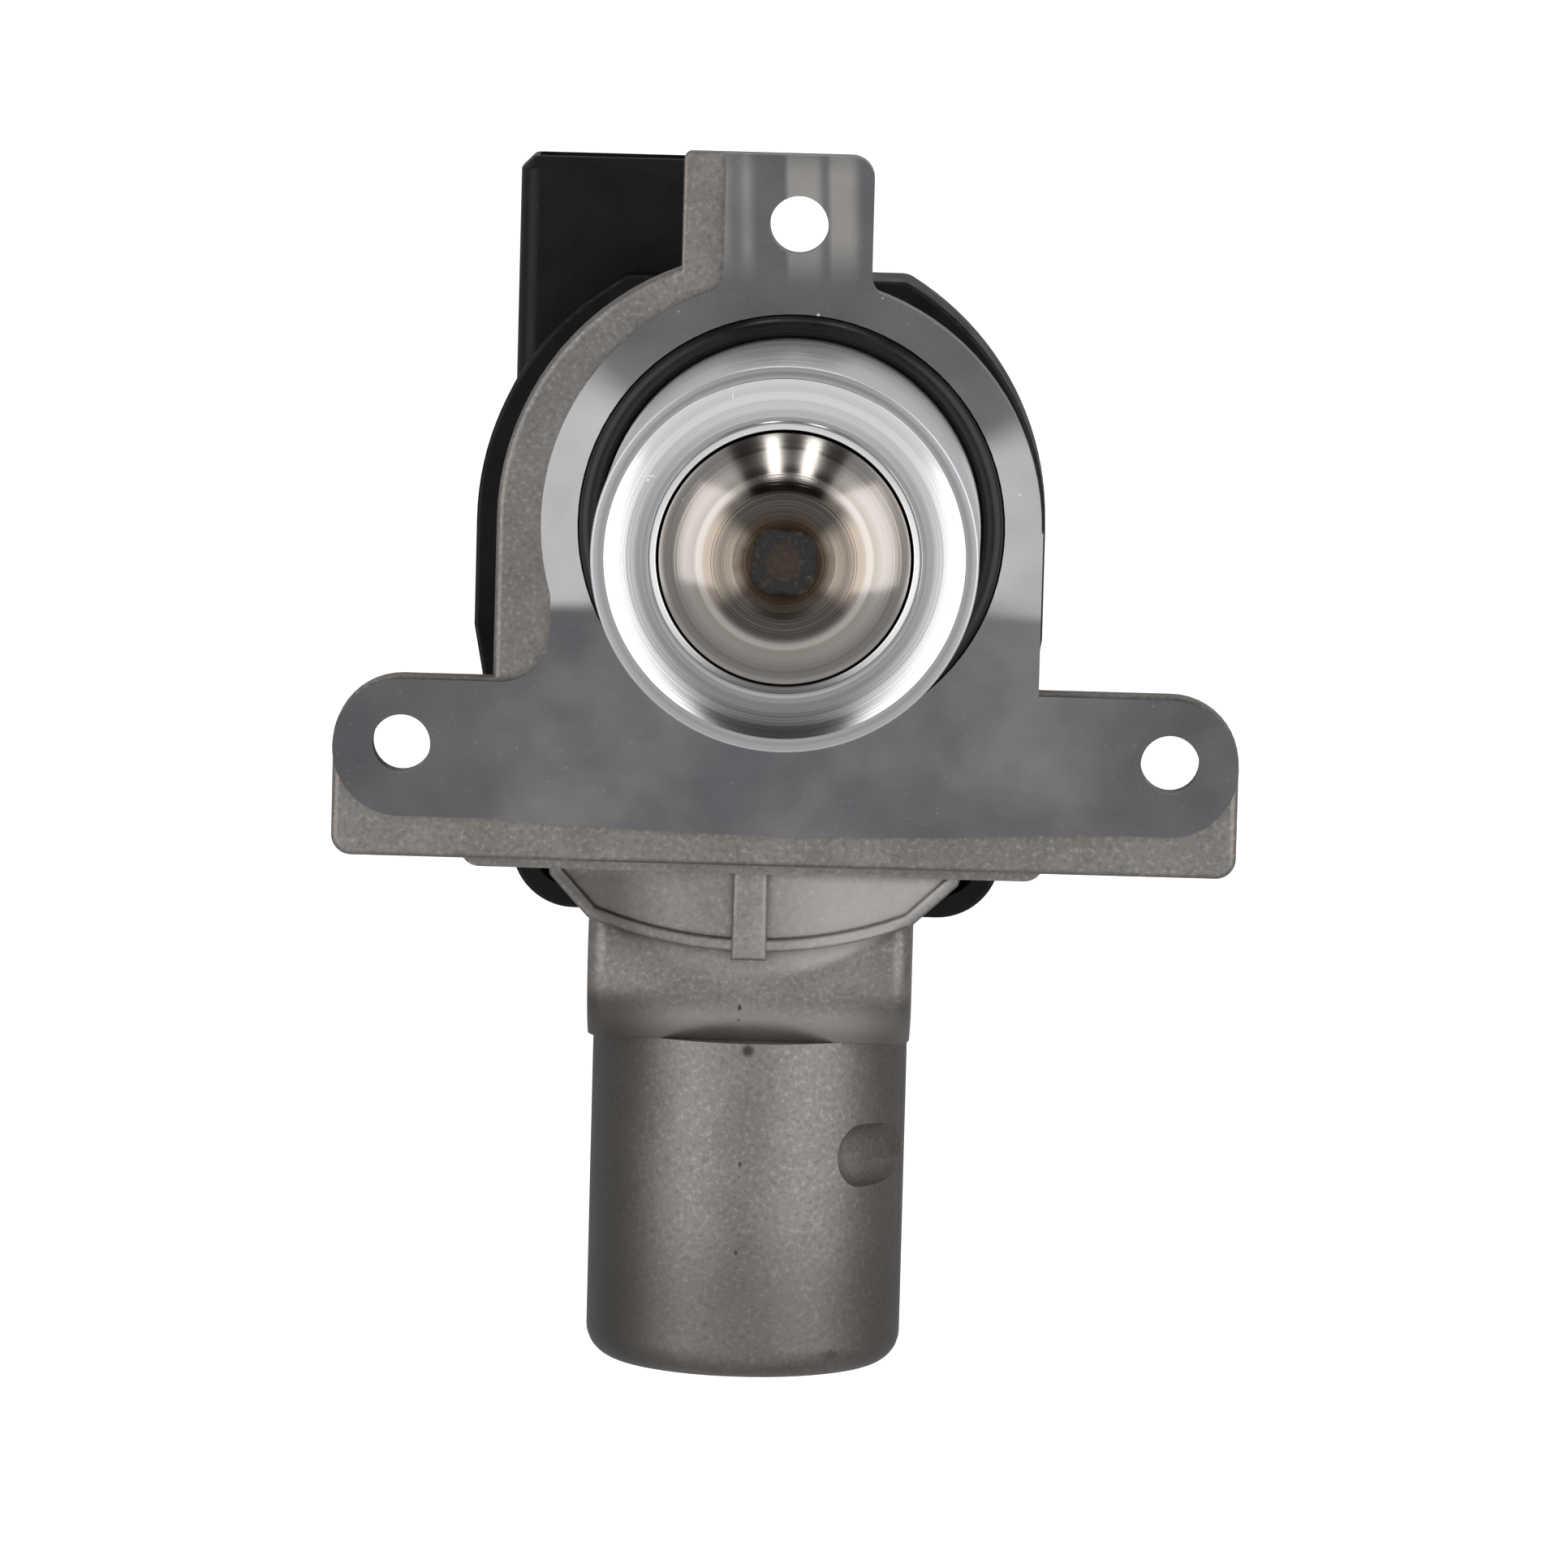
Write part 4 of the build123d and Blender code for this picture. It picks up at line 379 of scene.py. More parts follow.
def lathe(name, profile, steps=ROUND_STEPS, closed=True):
    """Turns a profile of (radius, height) in millimetres about the valve's axis."""
    mesh = bmesh.new()
    rings = []
    for r, z in profile:
        if r < 1e-6:
            rings.append([mesh.verts.new((0, 0, z * MM))])
            continue
        ring = []
        for k in range(steps):
            a = 2 * math.pi * k / steps
            ring.append(mesh.verts.new((r * math.cos(a) * MM, r * math.sin(a) * MM, z * MM)))
        rings.append(ring)
    for low, high in zip(rings, rings[1:] + ([rings[0]] if closed else [])):
        for k in range(steps):
            n = (k + 1) % steps
            corners = [low[k % len(low)], low[n % len(low)], high[n % len(high)], high[k % len(high)]]
            mesh.faces.new(list(dict.fromkeys(corners)))
    bmesh.ops.recalc_face_normals(mesh, faces=mesh.faces)
    piece = object_from(name, mesh)
    shade(piece.data)
    return piece


def baked(piece):
    """The piece with its modifiers turned into mesh."""
    graph = bpy.context.evaluated_depsgraph_get()
    data = bpy.data.meshes.new_from_object(piece.evaluated_get(graph))
    piece.modifiers.clear()
    piece.data = data
    return piece


def block(name, low, high, corner):
    """Box between two corners in millimetres, its edges along Y rounded."""
    mesh = bmesh.new()
    bmesh.ops.create_cube(mesh, size=1.0)
    middle = [(l + h) / 2 * MM for l, h in zip(low, high)]
    size = [(h - l) * MM for l, h in zip(low, high)]
    mesh.transform(Matrix.Translation(middle) @ Matrix.Diagonal((*size, 1)))
    along_y = [e for e in mesh.edges if abs((e.verts[0].co - e.verts[1].co).y) > size[1] / 2]
    bmesh.ops.bevel(mesh, geom=along_y, offset=corner * MM, segments=CORNER_STEPS, affect="EDGES",
                    profile=0.5)
    return object_from(name, mesh)


def refined(node):
    """Merged, smoothly shaded copy of a CAD node that stands for it."""
    data = NODES[node].data.copy()
    data.name = node + "_body"
    mesh = bmesh.new()
    mesh.from_mesh(data)
    bmesh.ops.remove_doubles(mesh, verts=mesh.verts, dist=MM * 0.001)
    for edge in mesh.edges:
        edge.smooth = len(edge.link_faces) == 2 and edge.calc_face_angle(0.0) < SMOOTH_ANGLE
    for face in mesh.faces:
        face.smooth = True
    sharpen_flats(mesh)
    mesh.to_mesh(data)
    mesh.free()
    piece = new_object(node + "_body", data)
    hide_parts(node)
    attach(piece, *body_of(NODES[node]))
    return piece


# ---- shader helpers ----
class Tree:
    """Short names for building a node tree."""

    def __init__(self, tree):
        self.tree = tree
        self.nodes = tree.nodes
        self.links = tree.links

    def feed(self, socket, value):
        """Links a socket to another, or sets its value."""
        if isinstance(value, bpy.types.NodeSocket):
            self.links.new(value, socket)
        elif value is not None:
            socket.default_value = value

    def math(self, operation, a, b=None):
        """Result of a Math node."""
        node = self.nodes.new("ShaderNodeMath")
        node.operation = operation
        self.feed(node.inputs[0], a)
        self.feed(node.inputs[1], b)
        return node.outputs[0]

    def plus(self, a, b):
        """Sum."""
        return self.math("ADD", a, b)

    def minus(self, a, b):
        """Difference."""
        return self.math("SUBTRACT", a, b)

    def times(self, a, b):
        """Product."""
        return self.math("MULTIPLY", a, b)

    def over(self, a, b):
        """Quotient."""
        return self.math("DIVIDE", a, b)

    def most(self, a, b):
        """Larger of two values."""
        return self.math("MAXIMUM", a, b)

    def length(self, x, y):
        """Distance from the middle of a plane."""
        return self.math("SQRT", self.plus(self.times(x, x), self.times(y, y)))

    def ramp(self, value, low, high, out_low=0.0, out_high=1.0):
        """Smooth step between two values."""
        node = self.nodes.new("ShaderNodeMapRange")
        node.interpolation_type = "SMOOTHSTEP"
        self.feed(node.inputs["Value"], value)
        self.feed(node.inputs["From Min"], low)
        self.feed(node.inputs["From Max"], high)
        self.feed(node.inputs["To Min"], out_low)
        self.feed(node.inputs["To Max"], out_high)
        return node.outputs["Result"]

    def span(self, value, low, high, out_low=0.0, out_high=1.0):
        """Smooth step between two places in millimetres."""
        return self.ramp(value, low * MM, high * MM, out_low, out_high)

    def mix(self, share, a, b):
        """Colour between two, each a socket or its red, green and blue."""
        node = self.nodes.new("ShaderNodeMix")
        node.data_type = "RGBA"
        self.feed(node.inputs["Factor"], share)
        for name, colour in (("A", a), ("B", b)):
            self.feed(node.inputs[name], (*colour, 1) if isinstance(colour, tuple) else colour)
        return node.outputs["Result"]

    def noise(self, where, scale, detail=3.0, rough=0.5, dimensions="3D"):
        """Noise from 0 to 1, its scale per metre."""
        node = self.nodes.new("ShaderNodeTexNoise")
        node.noise_dimensions = dimensions
        self.feed(node.inputs["W" if dimensions == "1D" else "Vector"], where)
        self.feed(node.inputs["Scale"], scale)
        node.inputs["Detail"].default_value = detail
        node.inputs["Roughness"].default_value = rough
        return node.outputs["Fac"]

    def cells(self, where, scale):
        """Outputs of a cell pattern, its scale per metre."""
        node = self.nodes.new("ShaderNodeTexVoronoi")
        self.feed(node.inputs["Vector"], where)
        self.feed(node.inputs["Scale"], scale)
        return node.outputs

    def dots(self, where, scale, inner, outer, channel, share):
        """Mask of a round dot in a share of the cells; channel says which part of their colour chooses."""
        cell = self.cells(where, scale)
        near = self.ramp(cell["Distance"], inner, outer, 1.0, 0.0)
        chosen = self.math("LESS_THAN", self.split(cell["Color"])[channel], share)
        return self.times(near, chosen)

    def place(self):
        """Place on the object, in metres."""
        return self.nodes.new("ShaderNodeTexCoord").outputs["Object"]

    def split(self, vector):
        """Three parts of a vector."""
        node = self.nodes.new("ShaderNodeSeparateXYZ")
        self.links.new(vector, node.inputs[0])
        return node.outputs

    def join(self, x, y, z):
        """Vector of three parts."""
        node = self.nodes.new("ShaderNodeCombineXYZ")
        for socket, value in zip(node.inputs, (x, y, z)):
            self.feed(socket, value)
        return node.outputs[0]

    def group(self, tree, **values):
        """Outputs of a group; an underscore in an input's name stands for a space."""
        node = self.nodes.new("ShaderNodeGroup")
        node.node_tree = tree
        for name, value in values.items():
            self.feed(node.inputs[name.replace("_", " ")], value)
        return node.outputs


def new_group(name, numbers, outputs):
    """Shader group that takes a place and named numbers and gives named numbers."""
    tree = bpy.data.node_groups.new(name, "ShaderNodeTree")
    tree.interface.new_socket("Place", in_out="INPUT", socket_type="NodeSocketVector")
    for socket, value in numbers.items():
        made = tree.interface.new_socket(socket, in_out="INPUT", socket_type="NodeSocketFloat")
        made.default_value = value
    for socket in outputs:
        tree.interface.new_socket(socket, in_out="OUTPUT", socket_type="NodeSocketFloat")
    source = tree.nodes.new("NodeGroupInput")
    target = tree.nodes.new("NodeGroupOutput")
    return Tree(tree), source.outputs, target.inputs


def cast_grain_group():
    """Sand-cast skin: fine grain, blotches and scattered pits."""
    kit, given, out = new_group("cast_grain", {"Grain": 1500.0, "Pits": 0.004},
                                ("Height", "Blotch", "Speckle", "Pit"))
    place, grain = given["Place"], given["Grain"]
    fine = kit.noise(place, grain, 4.0, 0.6)
    lumps = kit.noise(place, 420.0, 2.0)
    pit = kit.dots(place, 260.0, 0.1, 0.28, 0, given["Pits"])
    height = kit.plus(kit.times(fine, 0.5), kit.times(lumps, 0.6))
    kit.feed(out["Height"], kit.minus(height, pit))
    kit.feed(out["Blotch"], kit.noise(place, 120.0, 4.0, 0.55))
    kit.feed(out["Speckle"], kit.noise(place, grain, 2.0, 0.7))
    kit.feed(out["Pit"], pit)
    return kit.tree


def turning_group():
    """Fine rings left by turning about the valve's axis, on faces and walls alike."""
    kit, given, out = new_group("turning_rings", {"Pitch": 4000.0}, ("Height", "Tone", "Radius"))
    x, y, z = kit.split(given["Place"])
    radius = kit.length(x, y)
    along = kit.plus(radius, kit.times(z, 0.7))
    fine = kit.noise(along, given["Pitch"], 2.0, 0.6, "1D")
    broad = kit.noise(along, 900.0, 3.0, 0.6, "1D")
    kit.feed(out["Height"], kit.plus(kit.times(fine, 0.6), kit.times(broad, 0.5)))
    kit.feed(out["Tone"], broad)
    kit.feed(out["Radius"], radius)
    return kit.tree


def scratch_group():
    """Thin scratches in two directions and small specks of dust."""
    kit, given, out = new_group("scratches", {"Specks": 0.04}, ("Scratch", "Speck"))
    place = given["Place"]
    x, y, z = kit.split(place)
    lines = []
    for turn, stretch in ((0.6, 0.05), (2.2, 0.08)):
        c, s = math.cos(turn), math.sin(turn)
        along = kit.plus(kit.times(x, c), kit.times(y, s))
        across = kit.minus(kit.times(y, c), kit.times(x, s))
        band = kit.cells(kit.join(kit.times(along, stretch), across, z), 520.0)
        lines.append(kit.ramp(band["Distance"], 0.012, 0.035, 1.0, 0.0))
    patch = kit.ramp(kit.noise(place, 160.0, 2.0), *PATCHES)
    kit.feed(out["Scratch"], kit.times(kit.most(*lines), patch))
    kit.feed(out["Speck"], kit.dots(place, 420.0, 0.05, 0.12, 1, given["Specks"]))
    return kit.tree


def sector_group():
    """Mask of a sector about the valve's axis: 1 near a direction, fading over a few degrees."""
    kit, given, out = new_group("sector", {"Towards X": 1.0, "Towards Y": 0.0, "Edge": 0.88, "Full": 0.93},
                                ("Mask",))
    x, y, z = kit.split(given["Place"])
    along = kit.plus(kit.times(x, given["Towards X"]), kit.times(y, given["Towards Y"]))
    kit.feed(out["Mask"], kit.ramp(kit.over(along, kit.length(x, y)), given["Edge"], given["Full"]))
    return kit.tree


def flaw_group():
    """Elliptic spot on the casting's front, ragged at its edge."""
    kit, given, out = new_group("flaw", {"X": 0.0, "Y": 0.0, "Wide": 0.5 * MM, "High": 0.5 * MM}, ("Mask",))
    x, y, z = kit.split(given["Place"])
    across = kit.over(kit.minus(x, given["X"]), given["Wide"])
    up = kit.over(kit.minus(y, given["Y"]), given["High"])
    ragged = kit.times(kit.noise(given["Place"], 2200.0, 3.0, 0.6), 1.3)
    inside = kit.ramp(kit.plus(kit.length(across, up), ragged), 0.9, 1.6, 1.0, 0.0)
    front = kit.math("GREATER_THAN", z, CASTING_FRONT_Z * MM)
    kit.feed(out["Mask"], kit.times(inside, front))
    return kit.tree


GROUPS = {
    "sector": sector_group(), "flaw": flaw_group(), "cast": cast_grain_group(),
    "turning": turning_group(), "scratch": scratch_group(),
}


def new_material(name, metallic, roughness):
    """Material with a Principled shader; returns it with its tree kit and shader inputs."""
    material = bpy.data.materials.new(name)
    material.use_nodes = True
    shader = material.node_tree.nodes["Principled BSDF"]
    shader.inputs["Metallic"].default_value = metallic
    shader.inputs["Roughness"].default_value = roughness
    return material, Tree(material.node_tree), shader.inputs


def bump(kit, shader, height, depth):
    """Feeds a height in millimetres of depth into the shader's normal."""
    node = kit.nodes.new("ShaderNodeBump")
    node.inputs["Strength"].default_value = 1.0
    node.inputs["Distance"].default_value = depth * MM
    kit.feed(node.inputs["Height"], height)
    kit.links.new(node.outputs["Normal"], shader["Normal"])


def towards(kit, place, degrees, spread, fade):
    """Mask of the sector that faces an azimuth."""
    a = math.radians(degrees)
    edge, full = math.cos(math.radians(spread + fade)), math.cos(math.radians(spread))
    return kit.group(GROUPS["sector"], Place=place, Towards_X=math.cos(a), Towards_Y=math.sin(a), Edge=edge,
                     Full=full)["Mask"]


def flaw_mask(kit, place, x, y, wide, high):
    """Mask of one flaw, its place and half sizes in millimetres."""
    return kit.group(GROUPS["flaw"], Place=place, X=x * MM, Y=y * MM, Wide=wide * MM, High=high * MM)["Mask"]


def cast_tone(kit, place, x, y, skin):
    """Colour of the cast skin: speckled, with painted light making it pale in the bowl and low on the neck,
    and painted shade making it dark beside the can and on the bowl's left; it also darkens towards the can's
    low end.
    """
    tone = kit.mix(kit.ramp(skin["Blotch"], *MOTTLE), *CAST)
    tone = kit.mix(kit.ramp(skin["Speckle"], *GRAIN_DARK), tone, CAST_GRAIN[0])
    tone = kit.mix(kit.ramp(skin["Speckle"], *GRAIN_LIGHT), tone, CAST_GRAIN[1])
    # Painted light: the low part of the neck made pale.
    lit_neck_low = kit.times(kit.span(y, *NECK_LIGHT_Y), kit.span(y, *NECK_END_Y))
    tone = kit.mix(lit_neck_low, tone, PAINTED_NECK_LIGHT)
    off_middle = kit.minus(x, MOTOR_X * MM)
    off_mm = kit.over(off_middle, MM)
    rim_y = kit.times(kit.times(off_mm, off_mm), BOWL_RIM_CURVE * MM)
    bowl = kit.times(kit.span(y, *BOWL_TOP_Y), kit.span(kit.minus(y, rim_y), *BOWL_RIM_Y))
    # Painted light: the bowl made pale towards its right side.
    tone = kit.mix(kit.times(bowl, kit.span(x, *BOWL_LIT_X)), tone, PAINTED_BOWL_LIGHT)
    # Painted shade on the bowl's left, under the flange's ear; the can also darkens towards its low end.
    bowl_shade = kit.times(bowl, kit.span(x, *BOWL_SHADE_X))
    tone = kit.mix(kit.most(bowl_shade, kit.span(y, *CAN_LOW_Y)), tone, PAINTED_SHADE_DIM)
    # Painted shade: the can darker towards its left and right sides, where its round turns away.
    side = kit.over(off_middle, MOTOR_SIDE * MM)
    on_can = kit.span(y, *CAN_Y)
    left, right = (kit.times(kit.ramp(side, *part), on_can) for part in (CAN_LEFT_SHADE, CAN_RIGHT_SHADE))
    tone = kit.mix(kit.most(left, right), tone, PAINTED_CAN_SIDE_SHADE)
    tone = kit.mix(kit.times(skin["Pit"], 0.8), tone, CAST_PIT)
    for *spot, dark in FLAWS:
        tone = kit.mix(kit.times(flaw_mask(kit, place, *spot), dark), tone, CAST_FLAW)
    return tone


def machined_tone(kit, place, x, y, skin, marks):
    """Colour of the machined face: turned collar with a painted sheen in pale sectors and a painted dark
    reflection on its top, banded lug, cloudy ears, wear, dust.
    """
    cloud = kit.noise(place, 45.0, 3.0, 0.55)
    tone = kit.mix(kit.ramp(cloud, *CLOUDS), *MILLED)
    tone = kit.mix(kit.span(kit.math("ABSOLUTE", x), *EAR_DARK_X), tone, MILLED_EAR)
    radius = kit.group(GROUPS["turning"], Place=place)["Radius"]
    upper = kit.times(kit.span(radius, *COLLAR_EDGE_R), kit.span(y, *COLLAR_END_Y))
    # Painted dark reflection on the top sector of the turned collar.
    top = kit.times(upper, towards(kit, place, *DARK_REFLECTION_SECTOR))
    tone = kit.mix(kit.times(top, DARK_REFLECTION_SHARE), tone, PAINTED_DARK_REFLECTION)
    # Painted sheen: pale sectors left and right on the turned collar, standing for the reflection of its
    # turning rings.
    for *sector, share in PAINTED_SHEEN_SECTORS:
        pale = kit.times(upper, towards(kit, place, *sector))
        tone = kit.mix(kit.times(pale, share), tone, PAINTED_SHEEN_PALE)
    across = kit.plus(x, kit.times(y, 0.04))
    lug = kit.mix(kit.ramp(kit.noise(across, 230.0, 1.0, 0.4, "1D"), *BANDS), *LUG)
    lug = kit.mix(kit.span(y, *LUG_END_Y), lug, LUG_END)
    tone = kit.mix(kit.span(y, *LUG_BANDS_Y), tone, lug)
    tone = kit.mix(kit.ramp(skin["Speckle"], *WORN), tone, MILLED_WORN)
    tone = kit.mix(kit.times(marks["Scratch"], 0.3), tone, SCRATCHED)
    return kit.mix(marks["Speck"], tone, DUST)


def casting_material():
    """Sand-cast aluminium with its machined face."""
    material, kit, shader = new_material("cast_aluminium_body", 1.0, 0.5)
    place = kit.place()
    x, y, z = kit.split(place)
    skin = kit.group(GROUPS["cast"], Place=place)
    marks = kit.group(GROUPS["scratch"], Place=place)
    rings = kit.group(GROUPS["turning"], Place=place, Pitch=8000.0)
    machined = kit.span(z, MACHINED_Z - EDGE_FADE, MACHINED_Z + EDGE_FADE)
    unmachined = kit.minus(1.0, machined)
    cast = cast_tone(kit, place, x, y, skin)
    milled = machined_tone(kit, place, x, y, skin, marks)
    kit.feed(shader["Base Color"], kit.mix(machined, cast, milled))
    cast_rough = kit.ramp(skin["Blotch"], *CAST_ROUGH)
    milled_rough = kit.ramp(skin["Blotch"], *MILLED_ROUGH)
    rough = kit.plus(kit.times(cast_rough, unmachined), kit.times(milled_rough, machined))
    kit.feed(shader["Roughness"], rough)
    height = kit.plus(kit.times(skin["Height"], unmachined),
                      kit.times(rings["Height"], kit.times(machined, 0.06)))
    bump(kit, shader, height, 0.05)
    return material


def turned_material(name, dark, light, rough, depth, pitch=4000.0, nicks=(), rim_z=None):
    """Turned steel with rings, light scratches, nicks and specks; its end face past rim_z is darker, a
    painted dark reflection.
    """
    material, kit, shader = new_material(name, 1.0, rough)
    place = kit.place()
    rings = kit.group(GROUPS["turning"], Place=place, Pitch=pitch)
    marks = kit.group(GROUPS["scratch"], Place=place, Specks=0.02)
    tone = kit.mix(kit.ramp(rings["Tone"], *MOTTLE), dark, light)
    tone = kit.mix(kit.times(marks["Speck"], 0.6), tone, DUST)
    if rim_z is not None:
        # Painted dark reflection on the end face.
        dark_end_reflection = kit.span(kit.split(place)[2], rim_z - EDGE_FADE, rim_z, 0.0, 0.7)
        tone = kit.mix(dark_end_reflection, tone, PAINTED_DARK_REFLECTION)
    for nick in nicks:
        tone = kit.mix(kit.times(flaw_mask(kit, place, *nick), 0.8), tone, WHITE)
    kit.feed(shader["Base Color"], tone)
    ringed = kit.ramp(rings["Tone"], *MOTTLE, rough * 0.85, rough * 1.2)
    kit.feed(shader["Roughness"], kit.plus(ringed, kit.times(marks["Scratch"], 0.18)))
    bump(kit, shader, kit.minus(rings["Height"], kit.times(marks["Scratch"], 0.6)), depth)
    return material


def head_material():
    """Valve head: turned steel, browned by heat towards the weld, with a painted sheen making its middle
    pale where it faces left and right.
    """
    material, kit, shader = new_material("head_steel", 1.0, 0.2)
    place = kit.place()
    rings = kit.group(GROUPS["turning"], Place=place, Pitch=9000.0)
    marks = kit.group(GROUPS["scratch"], Place=place, Specks=0.03)
    radius = rings["Radius"]
    # Painted sheen: the dark middle turns pale where it faces left and right.
    sheen_sides = kit.most(*(towards(kit, place, *sector) for sector in HEAD_SHEEN_SECTORS))
    tone = kit.mix(kit.ramp(rings["Tone"], *MOTTLE), *HEAD)
    tone = kit.mix(kit.span(radius, *HEAD_DARK_R), tone, kit.mix(sheen_sides, *HEAD_MIDDLE_AND_SHEEN))
    blotch = kit.minus(kit.noise(place, 260.0, 4.0, 0.6), 0.5)
    wander = kit.plus(radius, kit.times(blotch, 1.6 * MM))
    tone = kit.mix(kit.span(wander, *HEAD_BROWN_R), tone, HEAD_BROWN)
    tone = kit.mix(kit.span(wander, *HEAD_BURNT_R), tone, HEAD_BURNT)
    streak = kit.times(kit.ramp(kit.noise(radius, 5200.0, 2.0, 0.6, "1D"), *STREAKS), 0.35)
    tone = kit.mix(kit.times(streak, kit.span(radius, *HEAD_STREAKS_R)), tone, HEAD_STREAK)
    kit.feed(shader["Base Color"], tone)
    flat = kit.span(radius, *HEAD_FLAT_R)
    rough = kit.plus(kit.ramp(rings["Tone"], *HEAD_ROUGH), kit.times(flat, 0.1))
    kit.feed(shader["Roughness"], rough)
    height = kit.times(rings["Height"], kit.plus(kit.times(flat, 0.8), 0.2))
    bump(kit, shader, kit.minus(height, kit.times(marks["Scratch"], 0.2)), 0.05)
    return material


def crust_material():
    """Black weld scale with brown spots, rusty at the stem's middle."""
    material, kit, shader = new_material("weld_scale", 0.0, 0.6)
    shader["Specular IOR Level"].default_value = 0.35
    place = kit.place()
    x, y, z = kit.split(place)
    spots = kit.noise(place, 1400.0, 4.0, 0.65)
    scale = kit.mix(kit.ramp(spots, *SCALE_SPOTS), *SCALE)
    rust = kit.mix(kit.ramp(spots, *CLOUDS), *RUST)
    kit.feed(shader["Base Color"], kit.mix(kit.span(kit.length(x, y), *RUST_R), scale, rust))
    kit.feed(shader["Roughness"], kit.ramp(spots, *SCALE_ROUGH))
    bump(kit, shader, kit.noise(place, 2200.0, 4.0, 0.7), 0.22)
    return material


def plain_metal(name, dark, light, rough, grain=900.0, depth=0.01):
    """Bright or oiled metal with a slightly uneven tone."""
    material, kit, shader = new_material(name, 1.0, rough)
    place = kit.place()
    tone = kit.noise(place, grain, 3.0)
    kit.feed(shader["Base Color"], kit.mix(kit.ramp(tone, *MOTTLE), dark, light))
    kit.feed(shader["Roughness"], kit.ramp(tone, *MOTTLE, rough * 0.85, rough * 1.2))
    bump(kit, shader, kit.noise(place, grain * 3, 2.0), depth)
    return material


def moulded(name, dark, light, rough, grain=2400.0, depth=0.02, gloss=0.5):
    """Moulded plastic or rubber with fine texture and a little dust."""
    material, kit, shader = new_material(name, 0.0, rough)
    shader["Specular IOR Level"].default_value = gloss
    place = kit.place()
    tone = kit.noise(place, 180.0, 4.0, 0.6)
    marks = kit.group(GROUPS["scratch"], Place=place, Specks=0.03)
    colour = kit.mix(kit.ramp(tone, *MOTTLE), dark, light)
    kit.feed(shader["Base Color"], kit.mix(kit.times(marks["Speck"], 0.35), colour, FAINT_DUST))
    kit.feed(shader["Roughness"], kit.ramp(tone, *MOTTLE, rough * 0.85, rough * 1.15))
    bump(kit, shader, kit.noise(place, grain, 3.0, 0.6), depth)
    return material


def make_materials():
    """Every material by its slot, and the head's own."""
    by_slot = {
        "cast_aluminium": casting_material(),
        "turned_steel": turned_material("nozzle_steel", *NOZZLE_STEEL, 0.42, 0.01, rim_z=NOZZLE_TOP - 0.02),
        "seat_steel": turned_material("seat_steel_turned", *SEAT_STEEL, 0.15, 0.012, 6000.0, SEAT_NICKS),
        "head": head_material(),
        "weld_metal": crust_material(),
        "seal_rubber": moulded("seal_rubber_black", *RUBBER, 0.27, 3200.0, 0.008, 0.32),
        "cover_plastic": moulded("cover_plastic_black", *COVER, 0.4, gloss=0.2),
    }
    by_slot.update((slot, plain_metal(*values)) for slot, values in METALS.items())
    by_slot.update((slot, moulded(*values)) for slot, values in MOULDINGS.items())
    return by_slot


# ---- pieces ----
def make_nozzle():
    """Turned tube with its gas window."""
    seat_bore = SEAT_R + SEAT_GAP
    profile = [
        (NOZZLE_BORE_R, NOZZLE_FOOT_Z), (NOZZLE_FOOT_R, NOZZLE_FOOT_Z), (NOZZLE_FOOT_R, NOZZLE_STEP_Z),
        (NOZZLE_R, NOZZLE_STEP_Z),
        *arc((NOZZLE_R, NOZZLE_TOP - NOZZLE_EDGE), (NOZZLE_R - NOZZLE_EDGE, NOZZLE_TOP), -NOZZLE_EDGE * 0.2,
             EDGE_STEPS),
        (seat_bore, NOZZLE_TOP), (seat_bore, SEAT_LOW_Z), (NOZZLE_BORE_R, SEAT_LOW_Z),
    ]
    piece = lathe("nozzle_tube", profile)
    window = block("window_cut", (-WINDOW_HALF_WIDTH, -NOZZLE_R - WINDOW_REACH, WINDOW_Z[0]),
                   (WINDOW_HALF_WIDTH, 0, WINDOW_Z[1]), WINDOW_CORNER)
    cut = piece.modifiers.new("window", "BOOLEAN")
    cut.operation = "DIFFERENCE"
    cut.object = window
    cut.solver = "EXACT"
    baked(piece)
    bpy.data.objects.remove(window)
    shade(piece.data)
    return piece


def make_seat_ring():
    """Ring with a hollow face falling from the land, a fine lip and the conical seat."""
    lip_foot, lip_top = (SEAT_FLOOR_Z + rise for rise in SEAT_LIP_Z)
    foot_half, top_half = SEAT_LIP_HALF
    cone_top = HEAD_UNDER_Z - SEAT_CLEARANCE
    profile = [
        (SEAT_R, SEAT_LOW_Z), (SEAT_R, NOZZLE_TOP - 0.04), (SEAT_R - SEAT_BREAK, NOZZLE_TOP - 0.02),
        *arc((SEAT_R - 2 * SEAT_BREAK, SEAT_EDGE_Z), (SEAT_FLOOR_R, SEAT_FLOOR_Z), SEAT_HOLLOW, FACE_STEPS),
        (SEAT_LIP_R + foot_half, lip_foot), (SEAT_LIP_R + top_half, lip_top),
        (SEAT_LIP_R - top_half, lip_top), (SEAT_LIP_R - foot_half, lip_foot),
        (SEAT_INNER_R + 0.10, SEAT_FLOOR_Z - 0.12), (SEAT_INNER_R, SEAT_FLOOR_Z - 0.25),
        (SEAT_INNER_R, cone_top), (SEAT_THROAT_R, cone_top - (SEAT_INNER_R - SEAT_THROAT_R)),
        (SEAT_THROAT_R, SEAT_LOW_Z),
    ]
    return lathe("seat_ring_turned", profile)


